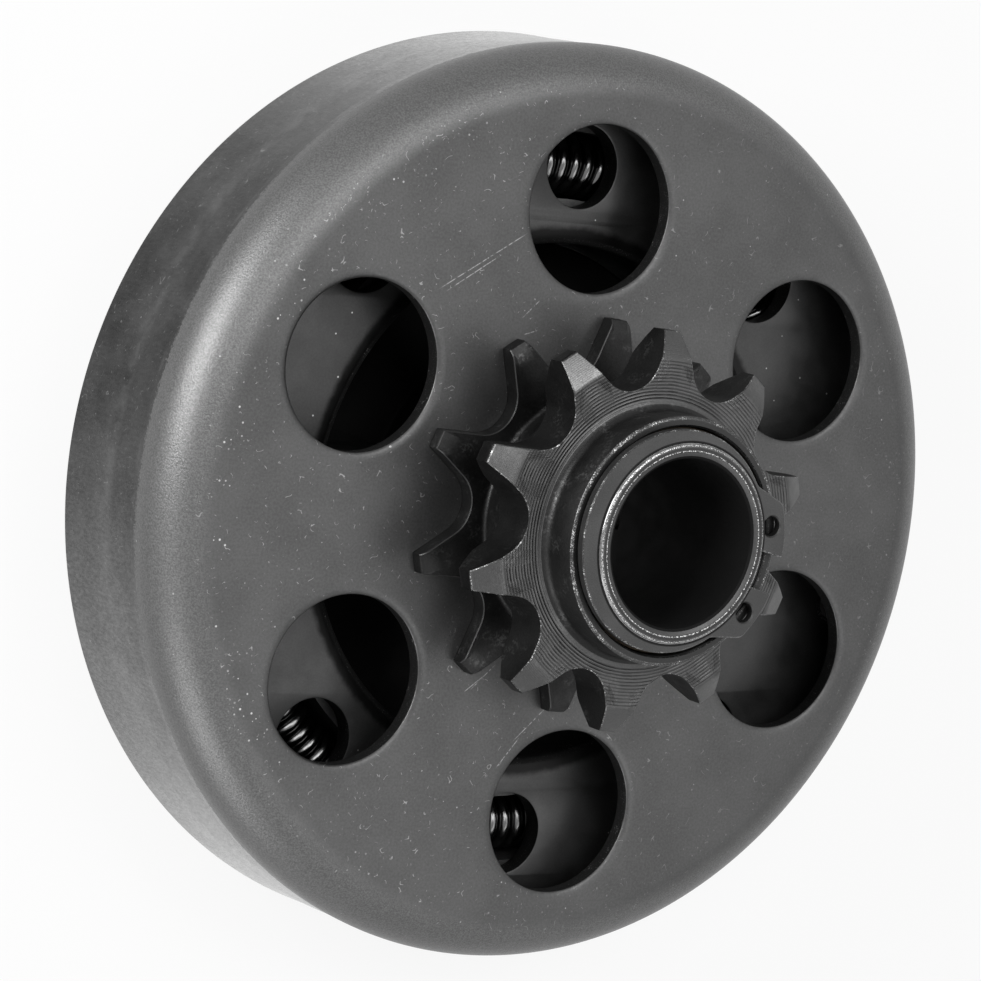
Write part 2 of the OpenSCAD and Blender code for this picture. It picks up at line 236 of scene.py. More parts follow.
class Paint(Board):
    """The node tree of one material, with the textures that the finishes share."""

    def __init__(self, material: bpy.types.Material) -> None:
        """Empties the material's tree and places its object coordinates."""
        super().__init__(material.node_tree)
        self.tree.nodes.clear()
        self.place = self.node("ShaderNodeTexCoord").outputs["Object"]
        split = self.node("ShaderNodeSeparateXYZ", None, {0: self.place})
        self.x, self.y, self.z = (Signal(self, split.outputs[k]) for k in range(3))
        self.radius = (self.x * self.x + self.y * self.y) ** 0.5

    def noise(self, grain_mm: float, detail: float = 2.0, stretch: Spot = (1, 1, 1), turn: float = 0.0) -> Signal:
        """Soft noise with features of about grain_mm.

        Args:
            grain_mm: Size of the features.
            detail: Octaves of finer noise.
            stretch: How much longer the features are along X, Y and Z.
            turn: Angle about Z by which the stretched pattern is turned, in degrees.

        Returns:
            A signal round 0.5.
        """
        where = self.place
        if stretch != (1, 1, 1) or turn:
            sockets = {"Rotation": (0, 0, math.radians(turn)), "Scale": tuple(1 / s for s in stretch)}
            where = self.node("ShaderNodeMapping", {"vector_type": "POINT"}, {"Vector": where, **sockets}).outputs[0]
        sockets = {"Vector": where, "Scale": 1 / (grain_mm * MM), "Detail": detail, "Roughness": 0.6}
        return self.value("ShaderNodeTexNoise", None, sockets)

    def round_noise(self, grain_mm: float, lift_mm: float, detail: float = 2.0) -> Signal:
        """Noise drawn out round the axis, as brushing or turning leaves it.

        Args:
            grain_mm: Size across the strokes.
            lift_mm: Size along Z.
            detail: Octaves of finer noise.

        Returns:
            A signal round 0.5.
        """
        sockets = {0: self.radius / (grain_mm * MM), 1: 0.0, 2: self.z / (lift_mm * MM)}
        where = self.node("ShaderNodeCombineXYZ", None, sockets).outputs[0]
        sockets = {"Vector": where, "Scale": 1.0, "Detail": detail, "Roughness": 0.6}
        return self.value("ShaderNodeTexNoise", None, sockets)

    def flecks(self, cell_mm: float, share: float, size: float) -> Signal:
        """Sparse bright dots, one in a share of the cells.

        Args:
            cell_mm: Spacing of the cells.
            share: Share of cells that hold a dot.
            size: Radius of a dot as a share of its cell.

        Returns:
            A mask from 0 to 1.
        """
        sockets = {"Vector": self.place, "Scale": 1 / (cell_mm * MM), "Randomness": 1.0}
        cells = self.node("ShaderNodeTexVoronoi", {"feature": "F1", "distance": "EUCLIDEAN"}, sockets)
        draw = self.value("ShaderNodeSeparateColor", None, {0: cells.outputs["Color"]})
        return Signal(self, cells.outputs["Distance"]).rise(size, size * 0.4) * draw.rise(1 - share, 1 - share * 0.7)

    def lint(self, reach_mm: float, share: float) -> Signal:
        """Thin curved fibres and hairline marks, scattered over the surface.

        Args:
            reach_mm: About how long a fibre runs.
            share: Share of the surface whose fibres show.

        Returns:
            A mask from 0 to 1.
        """
        lines = (self.noise(reach_mm * 1.3, 1.0) - 0.5).size().rise(0.014, 0.003)
        patches = self.noise(reach_mm * 0.8, 0.0)
        return lines * patches.rise(0.76 - share, 0.80 - share)

    def stroke(self, start: Flat, end: Flat, width_mm: float) -> Signal:
        """One straight scratch on the face, between two points in millimetres."""
        length = math.dist(start, end)
        ux, uy = (end[0] - start[0]) / length, (end[1] - start[1]) / length
        from_x, from_y = self.x - start[0] * MM, self.y - start[1] * MM
        along = from_x * ux + from_y * uy
        across = (from_y * ux - from_x * uy).size()
        inside = along.rise(0.0, length * 0.15 * MM) * along.rise(length * MM, length * 0.85 * MM)
        return across.rise(width_mm * MM, width_mm * 0.3 * MM) * inside

    def blend(self, factor: Signal | float, low: Signal | Colour | float, high: Signal | Colour | float) -> Signal:
        """Mixes two colours by a factor."""
        sockets = {0: factor, 6: low, 7: high}
        mix = self.node("ShaderNodeMix", {"data_type": "RGBA", "clamp_factor": True}, sockets)
        return Signal(self, mix.outputs[2])

    def bump(self, height: Signal, depth_mm: float, strength: float = 1.0) -> Signal:
        """A bumped normal from a height of 0 to 1."""
        sockets = {"Strength": strength, "Distance": depth_mm * MM, "Height": height}
        return self.value("ShaderNodeBump", None, sockets)

    def finish(self, sockets: dict) -> None:
        """Ends the tree in a Principled shader with the given sockets."""
        shader = self.node("ShaderNodeBsdfPrincipled", {"distribution": "MULTI_GGX"}, sockets)
        self.node("ShaderNodeOutputMaterial", None, {"Surface": shader.outputs[0]})


@dataclass(frozen=True)
class Steel:
    """Dark phosphated or oiled steel with grain, clouds, flecks and turning lines."""

    name: str
    tone: float
    roughness: float
    metallic: float = 0.8
    grain_mm: float = 0.25
    grain_depth_mm: float = 0.01
    cloud: float = 0.12
    fleck_share: float = 0.0
    lathe_mm: float = 0.0
    lathe_depth_mm: float = 0.0
    smear: float = 0.0
    coat: float = 0.0
    specular: float = 0.5

    def material(self) -> bpy.types.Material:
        """Makes the material."""
        made = bpy.data.materials.new(self.name)
        made.use_nodes = True
        self.paint(Paint(made))
        return made

    def colour(self, paint: Paint) -> Signal:
        """The surface's colour: an even tone with clouds, grain and flecks."""
        clouds = paint.noise(9.0, 3.0).rise(0.3, 0.7)
        grain = paint.noise(self.grain_mm, 2.0).rise(0.25, 0.75)
        low, high = self.tone * (1 - self.cloud), self.tone * (1 + self.cloud)
        made = paint.blend(clouds * 0.45 + grain * 0.55, grey(low), grey(high))
        if self.smear:
            patches = paint.noise(2.6, 3.0).rise(0.5, 0.68) * paint.noise(0.35, 3.0).rise(0.45, 0.62)
            made = paint.blend(patches * self.smear, made, grey(max(self.tone * 3.2, 0.08)))
        if self.fleck_share:
            dots = paint.flecks(0.9, self.fleck_share, 0.16)
            made = paint.blend(dots, made, grey(0.55))
        return made

    def height(self, paint: Paint) -> tuple[Signal, float]:
        """The relief and its depth in millimetres."""
        grain = paint.noise(self.grain_mm, 3.0)
        if not self.lathe_mm:
            return grain, self.grain_depth_mm
        rings = (paint.radius * (TAU / (self.lathe_mm * MM))).sine() * 0.5 + 0.5
        share = self.grain_depth_mm / (self.grain_depth_mm + self.lathe_depth_mm)
        return grain * share + rings * (1 - share), self.grain_depth_mm + self.lathe_depth_mm

    def paint(self, paint: Paint) -> None:
        """Builds the tree."""
        height, depth = self.height(paint)
        sheen = paint.noise(3.5, 2.0).rise(0.3, 0.7) * 0.12 - 0.06
        paint.finish({
            "Base Color": self.colour(paint),
            "Roughness": sheen + self.roughness,
            "Metallic": self.metallic,
            "Specular IOR Level": self.specular,
            "Coat Weight": self.coat,
            "Coat Roughness": 0.12,
            "Normal": paint.bump(height, depth),
        })


@dataclass(frozen=True)
class DrumSteel(Steel):
    """The drum's skin: an even grey face, a sanded corner, a glossier drawn wall with painted highlight bands, a few
    scratches, and dust with painted glints along the face's border.
    """

    face_z: float = 23.4
    face_r: float = 47.2
    wall_z: float = 16.2
    wall_tone: float = 0.015
    wall_roughness: float = 0.30
    wall_gloss: float = 1.0
    dull_side: float = 149.0
    corner_tone: float = 0.115
    corner_roughness: float = 0.42
    scratches: tuple[tuple[Flat, Flat], ...] = (
        ((-23.0, 24.4), (-11.6, 31.7)),
        ((-21.9, 24.3), (-14.7, 29.1)),
        ((-13.3, -20.7), (-10.8, -18.8)),
        ((-12.5, -20.5), (-9.3, -17.4)),
        ((-5.9, -26.6), (-1.7, -22.6)),
        ((-7.7, -29.6), (-4.8, -25.9)),
        ((-11.3, 22.0), (-9.1, 24.2)),
        ((-10.8, 20.2), (-8.9, 20.8)),
    )

    def wall(self, paint: Paint) -> Signal:
        """1 on the drawn wall and 0 above its uneven upper border."""
        border = (paint.noise(1.2, 3.0) - 0.5) * (0.9 * MM) + (paint.noise(0.3, 3.0) - 0.5) * (1.5 * MM)
        return (paint.z + border).rise((self.wall_z + 0.25) * MM, (self.wall_z - 0.25) * MM)

    def corner(self, paint: Paint) -> Signal:
        """1 on the sanded outer corner and 0 on the face."""
        return paint.radius.rise((self.face_r + 0.2) * MM, (self.face_r + 2.8) * MM)

    def colour(self, paint: Paint) -> Signal:
        """Adds the wall's darker skin with its painted highlight bands, lint, the two long scratches, and dust whose
        specks crowd along the face's border on the lit -X side as painted glints.
        """
        made = super().colour(paint)
        streaks = paint.noise(0.3, 3.0, (1, 1, 5)).rise(0.3, 0.7) * 0.4 + paint.noise(7.0, 4.0).rise(0.35, 0.65) * 0.7
        drawn = paint.blend(streaks, grey(self.wall_tone * 0.3), grey(self.wall_tone * 2.2))
        # Painted highlights: a lighter band along the wall's ridge near z = 9.4 mm, and a thinner one along the crease
        # under the corner.
        ridge_highlight = paint.z.band(9.4 * MM, 1.7 * MM) * paint.noise(3.0, 3.0).rise(0.3, 0.65)
        crease_highlight = paint.z.band(15.3 * MM, 0.5 * MM) * paint.noise(4.0, 3.0).rise(0.4, 0.7)
        drawn = paint.blend(ridge_highlight * 0.6 + crease_highlight * 0.35, drawn, grey(self.wall_tone * 7.0))
        rubs = paint.flecks(1.3, 0.14, 0.09) + paint.lint(1.1, 0.07) + paint.lint(0.6, 0.1) * 0.7
        drawn = paint.blend(rubs * 0.45, drawn, grey(0.3))
        sand = paint.noise(0.2, 3.0).rise(0.3, 0.7)
        sanded = paint.blend(sand, grey(self.corner_tone * 0.72), grey(self.corner_tone * 1.28))
        made = paint.blend(self.corner(paint) * 0.85, made, sanded)
        made = paint.blend(self.wall(paint), made, drawn)
        on_face = paint.z.rise((self.face_z - 1.2) * MM, (self.face_z - 0.2) * MM)
        marks = paint.lint(1.3, 0.05) * 0.5 + paint.lint(0.7, 0.055) * 0.5
        marks = marks * (paint.x.rise(24 * MM, -16 * MM) * 0.6 + 0.4)
        for start, end in self.scratches:
            marks = marks + paint.stroke(start, end, 0.08) * paint.noise(0.4, 2.0).rise(0.35, 0.6) * 0.6
        # Dust and painted glints: bright specks crowd along the face's border, most on the lit -X side, and stand for
        # the glints on that edge; sparse dust specks lie everywhere.
        border = paint.radius.band(self.face_r * MM, 3.5 * MM)
        lit_side_clusters = paint.noise(5.0, 2.0).rise(0.46, 0.6)
        lit_side_clusters = lit_side_clusters * (paint.x.rise(-12 * MM, -36 * MM) * 0.75 + 0.25)
        dust_and_glints = (paint.flecks(0.7, 0.32, 0.24) + paint.flecks(0.4, 0.2, 0.25)) * border * lit_side_clusters * on_face * 1.5
        dust_and_glints = dust_and_glints + paint.flecks(2.4, 0.3, 0.055) * 0.8 + paint.flecks(1.1, 0.09, 0.09) * 0.6
        return paint.blend(marks * on_face * 0.75 + dust_and_glints * 0.6, made, grey(0.5))

    def height(self, paint: Paint) -> tuple[Signal, float]:
        """Fine grain on the face and wall, and coarse sanding on the corner."""
        fine = paint.noise(0.2, 3.0)
        sanded = paint.noise(0.2, 3.0)
        share = self.corner(paint) * (1 - self.wall(paint))
        return fine * (0.45 - 0.45 * share) + sanded * share, 0.04

    def paint(self, paint: Paint) -> None:
        """Builds the tree."""
        height, depth = self.height(paint)
        wall, corner = self.wall(paint), self.corner(paint)
        top = self.roughness + corner * (self.corner_roughness - self.roughness)
        roughness = top * (1 - wall) + wall * self.wall_roughness + (paint.noise(0.5, 3.0) - 0.5) * 0.12
        side = math.radians(self.dull_side)
        across = (paint.y * math.cos(side) - paint.x * math.sin(side)).size() / (self.face_r * MM)
        gloss = across.rise(0.25, 0.85) * 0.59 + paint.noise(8.0, 3.0).rise(0.3, 0.7) * 0.2 + 0.12
        gloss = gloss * (1 - paint.z.rise(11.5 * MM, 15.5 * MM) * 0.2)
        gloss = gloss * (paint.noise(0.35, 3.0, (1, 1, 2)).rise(0.3, 0.7) * 0.6 + 0.72)
        paint.finish({
            "Base Color": self.colour(paint),
            "Roughness": roughness,
            "Metallic": wall * (1 - self.metallic) + self.metallic,
            "Coat Weight": wall * gloss * self.wall_gloss,
            "Coat Roughness": 0.24,
            "Normal": paint.bump(height, depth),
        })


@dataclass(frozen=True)
class TurnedSteel(Steel):
    """Black turned steel whose flat keeps the lathe's grooves, with painted shade in their depth."""

    flat_z: float = 36.2
    groove_start: float = 15.1
    groove_end: float = 19.7
    groove_pitch: float = 0.38
    bare_tooth: float = 123.1

    def colour(self, paint: Paint) -> Signal:
        """Paints shade into the grooves of the flat and lightens the chamfers of the teeth."""
        made = super().colour(paint)
        waves = (paint.radius - self.groove_start * MM) * (TAU / (self.groove_pitch * MM))
        # Painted shade: the grooves are darkened almost to black.
        lines = (waves.cosine() * -0.5 + 0.5).rise(0.3, 0.95) * (paint.noise(2.2, 2.0) + 0.1)
        front = paint.z.rise(self.flat_z * MM, (self.flat_z + 0.4) * MM)
        flat = paint.radius.rise((self.groove_start - 0.1) * MM, (self.groove_start + 0.1) * MM)
        flat = flat * paint.radius.rise((self.groove_end + 0.1) * MM, (self.groove_end - 0.1) * MM)
        made = paint.blend(flat * front * 0.5, made, grey(self.tone * 1.3))
        made = paint.blend(lines * flat * front, made, grey(self.tone * 0.08))
        outside = paint.radius.rise((self.groove_end - 0.1) * MM, (self.groove_end + 0.3) * MM)
        hatch = paint.round_noise(0.2, 2.0, 1.0).rise(0.35, 0.65) * 0.2 + paint.noise(0.18, 3.0).rise(0.3, 0.7) * 0.8
        made = paint.blend(outside * hatch * 0.7, made, grey(self.tone * 1.3))
        tooth = math.radians(self.bare_tooth)
        aside = (paint.y * math.cos(tooth) - paint.x * math.sin(tooth)).size().rise(3.4 * MM, 2.8 * MM)
        ahead = (paint.x * math.cos(tooth) + paint.y * math.sin(tooth)).rise(0.0, 1.0 * MM)
        return paint.blend(outside * aside * ahead * (hatch * 0.6 + 0.3), made, grey(self.tone * 3.6))


@dataclass(frozen=True)
class ClipSteel(Steel):
    """Grey spring steel with a thin line of painted contact shade where it meets the tube."""

    tube_r: float = 11.2
    shade_w: float = 0.22

    def colour(self, paint: Paint) -> Signal:
        """Adds the painted shade line."""
        # Painted contact shade: a dark line on the ring's top face beside the tube.
        line = paint.radius.rise((self.tube_r + self.shade_w * 1.5) * MM, (self.tube_r + self.shade_w) * MM)
        return paint.blend(line, super().colour(paint), grey(self.tone * 0.1))


@dataclass(frozen=True)
class ShoeSteel(Steel):
    """Shoe steel with painted shade over its rolled inner edge, deep inside the drum."""

    inner_r: float = 30.4
    roll_w: float = 2.4

    def colour(self, paint: Paint) -> Signal:
        """Paints shade over the rolled inner edge."""
        # Painted shade: near the rolled inner edge the colour falls to near black, along an uneven border.
        uneven = (paint.noise(1.5, 3.0) - 0.5) * (0.8 * MM)
        painted_shade = (paint.radius + uneven).rise((self.inner_r + self.roll_w) * MM, (self.inner_r + self.roll_w * 0.6) * MM)
        return paint.blend(painted_shade, super().colour(paint), grey(self.tone * 0.1))


@dataclass(frozen=True)
class WornSteel(Steel):
    """Edges where the black is rubbed off in fine broken lines."""

    bright: float = 0.5
    bare: float = 0.5

    def colour(self, paint: Paint) -> Signal:
        """Breaks bright metal up with patches of the dark finish."""
        fine = paint.noise(0.16, 3.0).rise(0.66 - self.bare * 0.3, 0.86 - self.bare * 0.3)
        patches = paint.noise(1.7, 3.0).rise(0.66 - self.bare * 0.3, 0.80 - self.bare * 0.3)
        return paint.blend(fine * (patches * 0.85 + 0.15), grey(self.tone), grey(self.bright))


@dataclass(frozen=True)
class NoseSteel(Steel):
    """The tube's end, brushed round and rubbed bright in broken lines along its edges."""

    lines: tuple[Flat, ...] = ((10.36, 0.11), (10.97, 0.15))
    bright: float = 0.75

    def colour(self, paint: Paint) -> Signal:
        """Round streaks with speckled bright lines."""
        streaks = paint.round_noise(0.09, 3.0, 3.0).rise(0.35, 0.7) * paint.radius.rise(10.7 * MM, 10.95 * MM)
        patches = paint.noise(1.3, 3.0).rise(0.35, 0.65)
        made = paint.blend(streaks * (patches * 0.5 + 0.5), grey(self.tone), grey(self.tone * 14))
        speckle = paint.noise(0.13, 3.0).rise(0.46, 0.62)
        for radius, half in self.lines:
            made = paint.blend(paint.radius.band(radius * MM, half * MM) * speckle, made, grey(self.bright))
        return made


@dataclass(frozen=True)
class Bronze(Steel):
    """Oiled sintered bronze with fine pores, darkened nearly to black-brown as painted shade for the gap where its top
    face shows.
    """

    def colour(self, paint: Paint) -> Signal:
        """A brown metal with dark pores."""
        pores = paint.noise(0.18, 2.0).rise(0.35, 0.6)
        return paint.blend(pores, grey(0.012, 0.3), grey(self.tone, 0.3))


class Finish(Enum):
    """The finishes of the clutch, by the piece that each one is for."""

    DRUM = DrumSteel("drum_black_phosphate", 0.066, 0.38, metallic=0.75, cloud=0.22, grain_mm=0.3)
    SPROCKET = TurnedSteel("sprocket_turned_black", 0.06, 0.38, cloud=0.2, lathe_mm=0.19, lathe_depth_mm=0.006, smear=0.25)
    # Near-black painted shade for the sprocket's tooth sides, stub, neck and cove, with real smudges.
    SPROCKET_SHADE = Steel("sprocket_sides_painted_shade", 0.016, 0.42, cloud=0.35, smear=0.6, grain_depth_mm=0.02)
    EDGE = WornSteel("edge_rubbed_bright", 0.04, 0.36, metallic=0.9, bright=0.55, bare=0.6)
    EDGE_FAINT = WornSteel("edge_rubbed_faintly", 0.03, 0.45, metallic=0.9, bright=0.2, bare=0.3)
    # Near-black painted shade with rubbed specks, for the drum's hole walls and the shoes' inner edges and windows.
    CUT = WornSteel("cut_edge_painted_shade", 0.008, 0.6, metallic=0.0, specular=0.05, bright=0.3, bare=0.34)
    RIM = NoseSteel("nose_rubbed_bright", 0.035, 0.30, metallic=0.95)
    HUB = Steel("hub_dark_steel", 0.055, 0.38, smear=0.05)
    # Near-black painted shade for the hub's bore and its parts inside the drum.
    HUB_SHADE = Steel("hub_painted_shade_black", 0.006, 0.6, metallic=0.0, cloud=0.2, specular=0.06)
    CLIP = ClipSteel("circlip_spring_steel", 0.05, 0.40, cloud=0.3, grain_mm=0.15, fleck_share=0.04)
    WIRE = Steel("spring_wire_oiled_black", 0.11, 0.2, metallic=1.0, grain_mm=0.4, grain_depth_mm=0.003, coat=0.6)
    BLOCK = ShoeSteel("shoe_block_grainy_steel", 0.06, 0.42, grain_mm=0.18, grain_depth_mm=0.03, cloud=0.25, smear=0.3)
    COVER = ShoeSteel("shoe_cover_satin_steel", 0.05, 0.45, cloud=0.15, fleck_share=0.02)
    RIVET = Steel("rivet_steel", 0.1, 0.36, cloud=0.2, smear=0.3)
    WASHER = Steel("washer_oily_black", 0.012, 0.5, metallic=0.3, lathe_mm=0.3, lathe_depth_mm=0.004, specular=0.2)
    # Partly painted shade: the bronze is made nearly black so that it stays dark in the gap beside the circlip.
    BUSH = Bronze("bushing_oiled_bronze_painted_shade", 0.03, 0.5, specular=0.2)

    @property
    def material(self) -> bpy.types.Material:
        """The finish's material, made once."""
        return bpy.data.materials.get(self.value.name) or self.value.material()


class Mark(IntEnum):
    """Which of a piece's finishes a face takes."""

    PLAIN = 0
    # Rubbed bright edges on most pieces; near-black painted shade on the drum's hole walls and the shoes' inner edges
    # and windows.
    RUBBED_OR_SHADED = 1
    SHADED = 2
    FAINT = 3


@dataclass
class Draft:
    """A mesh in the making: points in millimetres, faces, and the finish that each face takes."""

    points: list[Spot] = field(default_factory=list)
    faces: list[tuple[int, ...]] = field(default_factory=list)
    marks: list[Mark] = field(default_factory=list)

    def ring(self, spots: Sequence[Spot]) -> list[int]:
        """Adds points and returns their numbers."""
        first = len(self.points)
        self.points.extend(spots)
        return list(range(first, len(self.points)))

    def bridge(self, a: Sequence[int], b: Sequence[int], closed: bool = True, mark: Mark = Mark.PLAIN) -> None:
        """Joins two rings of as many points by a strip of faces."""
        for k in range(len(a) if closed else len(a) - 1):
            after = (k + 1) % len(a)
            self.faces.append((a[k], a[after], b[after], b[k]))
            self.marks.append(mark)

    def loft(
        self, rings: Sequence[Sequence[Spot]], closed: bool = True, looped: bool = False,
        marks: dict[int, Mark] | None = None,
    ) -> list[list[int]]:
        """Joins rings one after another.

        Args:
            rings: The rings, each with as many points.
            closed: Whether each ring runs round.
            looped: Whether the last ring joins the first one.
            marks: Marks of the strips that aren't plain, by the number of their first ring.

        Returns:
            The point numbers of each ring.
        """
        numbers = [self.ring(ring) for ring in rings]
        for k in range(len(numbers) if looped else len(numbers) - 1):
            self.bridge(numbers[k], numbers[(k + 1) % len(numbers)], closed, (marks or {}).get(k, Mark.PLAIN))
        return numbers

    def cap(self, loops: Sequence[Sequence[int]]) -> None:
        """Fills a flat region: the first loop is its outside, the others are holes in it."""
        order = [number for loop in loops for number in loop]
        lines = [[Vector(self.points[number]) for number in loop] for loop in loops]
        for triangle in tessellate_polygon(lines):
            self.faces.append(tuple(order[k] for k in triangle))
            self.marks.append(Mark.PLAIN)

    def mesh(self, name: str, turn: float = 0.0) -> bpy.types.Mesh:
        """Makes the mesh in metres, with its faces pointing outwards.

        Args:
            name: The mesh's name.
            turn: Angle about Z, in degrees.

        Returns:
            The mesh, whose whole number face attribute mark tells the finish.
        """
        made = bpy.data.meshes.new(name)
        made.from_pydata(self.points, [], self.faces)
        made.attributes.new("mark", "INT", "FACE").data.foreach_set("value", self.marks)
        work = bmesh.new()
        work.from_mesh(made)
        bmesh.ops.remove_doubles(work, verts=work.verts, dist=0.0004)
        bmesh.ops.recalc_face_normals(work, faces=work.faces)
        work.to_mesh(made)
        work.free()
        made.transform(Matrix.Rotation(math.radians(turn), 4, "Z") @ Matrix.Scale(MM, 4))
        return made


def place(name: str, mesh: bpy.types.Mesh) -> bpy.types.Object:
    """Puts a mesh into the scene as an object at the origin."""
    made = bpy.data.objects.new(name, mesh)
    bpy.context.scene.collection.objects.link(made)
    return made


def smooth(mesh: bpy.types.Mesh, angle: float = 32.0) -> None:
    """Shades a mesh smooth and keeps edges sharper than the angle."""
    mesh.shade_smooth()
    mesh.set_sharp_from_angle(angle=math.radians(angle))


def dress(piece: bpy.types.Object, body: str, slot: str, *nodes: str) -> None:
    """Ties a finished piece to its body and hides the nodes that it stands for.

    Args:
        piece: The piece.
        body: The body that it rides on.
        slot: Not used.
        *nodes: The nodes that it replaces.
    """
    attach(piece, body)
    if nodes:
        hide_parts(*nodes)
    LOG.info("%s: %d faces on %s", piece.name, len(piece.data.polygons), body)


def paint_piece(piece: bpy.types.Object, *finishes: Finish) -> None:
    """Gives a piece its finishes, in the order of the marks."""
    piece.data.materials.clear()
    for finish in finishes:
        piece.data.materials.append(finish.material)
    marks = [0] * len(piece.data.polygons)
    piece.data.attributes["mark"].data.foreach_get("value", marks)
    piece.data.polygons.foreach_set("material_index", marks)


def mark_faces(piece: bpy.types.Object, mark: Mark, test: Callable[[float, float], bool]) -> None:
    """Marks the faces whose middle passes a test on its radius and height in millimetres."""
    mesh = piece.data
    spots = mesh.attributes.get("mark") or mesh.attributes.new("mark", "INT", "FACE")
    for face, spot in zip(mesh.polygons, spots.data):
        if test(math.hypot(face.center.x, face.center.y) / MM, face.center.z / MM):
            spot.value = mark


class Growth(Board):
    """A geometry node tree with named inputs, which makes what repeats or follows a rule."""

    def __init__(self, name: str, inputs: dict[str, tuple[str, object]]) -> None:
        """Makes the tree.

        Args:
            name: Name of the tree.
            inputs: Socket type and value of each named input.
        """
        super().__init__(bpy.data.node_groups.new(name, "GeometryNodeTree"))
        face = self.tree.interface
        face.new_socket("Geometry", in_out="INPUT", socket_type="NodeSocketGeometry")
        face.new_socket("Geometry", in_out="OUTPUT", socket_type="NodeSocketGeometry")
        self.names = {}
        self.values = {label: value for label, (_, value) in inputs.items()}
        for label, (kind, _) in inputs.items():
            self.names[label] = face.new_socket(label, in_out="INPUT", socket_type=kind).identifier
        self.given = self.tree.nodes.new("NodeGroupInput")
        self.out = self.tree.nodes.new("NodeGroupOutput")

    def use(self, label: str) -> Signal:
        """One of the named inputs."""
        return Signal(self, self.given.outputs[label])

    def end(self, shape: bpy.types.NodeSocket, materials: Sequence[tuple[str, Signal | None]]) -> None:
        """Ends the tree in Realize Instances and Set Material.

        Args:
            shape: The geometry.
            materials: Each material input, with the faces that it goes on, or None for all.
        """
        shape = self.node("GeometryNodeRealizeInstances", None, {0: shape}).outputs[0]
        for label, where in materials:
            sockets = {"Geometry": shape, "Material": self.use(label)}
            if where is not None:
                sockets["Selection"] = where
            shape = self.node("GeometryNodeSetMaterial", None, sockets).outputs[0]
        self.link(shape, self.out.inputs[0])

    def grow(self, name: str, seed_mesh: bpy.types.Mesh | None = None) -> bpy.types.Object:
        """Runs the tree and keeps its result as a plain mesh.

        Args:
            name: Name of the piece.
            seed_mesh: Mesh that the tree starts from, if it needs one.

        Returns:
            The piece, without its modifier.
        """
        piece = place(name, seed_mesh or bpy.data.meshes.new(name))
        growth = piece.modifiers.new("growth", "NODES")
        growth.node_group = self.tree
        for label, identifier in self.names.items():
            growth[identifier] = self.values[label]
        return settle(piece)


def settle(piece: bpy.types.Object) -> bpy.types.Object:
    """Turns a piece's modifiers into its plain mesh and removes them."""
    bpy.context.view_layer.update()
    graph = bpy.context.evaluated_depsgraph_get()
    made = bpy.data.meshes.new_from_object(piece.evaluated_get(graph))
    piece.modifiers.clear()
    piece.data = made
    made.name = piece.name
    return piece


def round_copies(name: str, seed_mesh: bpy.types.Mesh, copies: int, start: float, step: float,
                 *finishes: Finish) -> bpy.types.Object:
    """Repeats a mesh round the axis and welds the copies where they meet.

    Args:
        name: Name of the piece.
        seed_mesh: What is repeated.
        copies: How many there are.
        start: Angle of the first one, in degrees.
        step: Angle between neighbours, in degrees.
        *finishes: Its finishes, in the order of the marks.

    Returns:
        The piece.
    """
    inputs = {
        "Copies": ("NodeSocketInt", copies),
        "Start": ("NodeSocketFloat", math.radians(start)),
        "Step": ("NodeSocketFloat", math.radians(step)),
        "Weld": ("NodeSocketFloat", 0.002 * MM),
    }
    labels = [f"{mark.name.title()} Finish" for mark in Mark][:len(finishes)]
    inputs.update({label: ("NodeSocketMaterial", finish.material) for label, finish in zip(labels, finishes)})
    tree = Growth(f"{name}_round", inputs)
    spots = tree.node("GeometryNodeMeshLine", None, {"Count": tree.use("Copies"), "Offset": (0, 0, 0)})
    index = tree.value("GeometryNodeInputIndex")
    angle = index * tree.use("Step") + tree.use("Start")
    turn = tree.node("ShaderNodeCombineXYZ", None, {2: angle})
    sockets = {"Points": spots.outputs[0], "Instance": tree.given.outputs["Geometry"], "Rotation": turn.outputs[0]}
    copies_made = tree.node("GeometryNodeInstanceOnPoints", None, sockets)
    whole = tree.node("GeometryNodeRealizeInstances", None, {0: copies_made.outputs[0]})
    sockets = {"Geometry": whole.outputs[0], "Distance": tree.use("Weld")}
    welded = tree.node("GeometryNodeMergeByDistance", None, sockets)
    marks = tree.value("GeometryNodeInputNamedAttribute", {"data_type": "INT"}, {"Name": "mark"})
    places = [None] + [
        tree.value("FunctionNodeCompare", {"data_type": "INT", "operation": "EQUAL"}, {2: marks, 3: k})
        for k in range(1, len(finishes))
    ]
    tree.end(welded.outputs[0], list(zip(labels, places)))
    return tree.grow(name, seed_mesh)


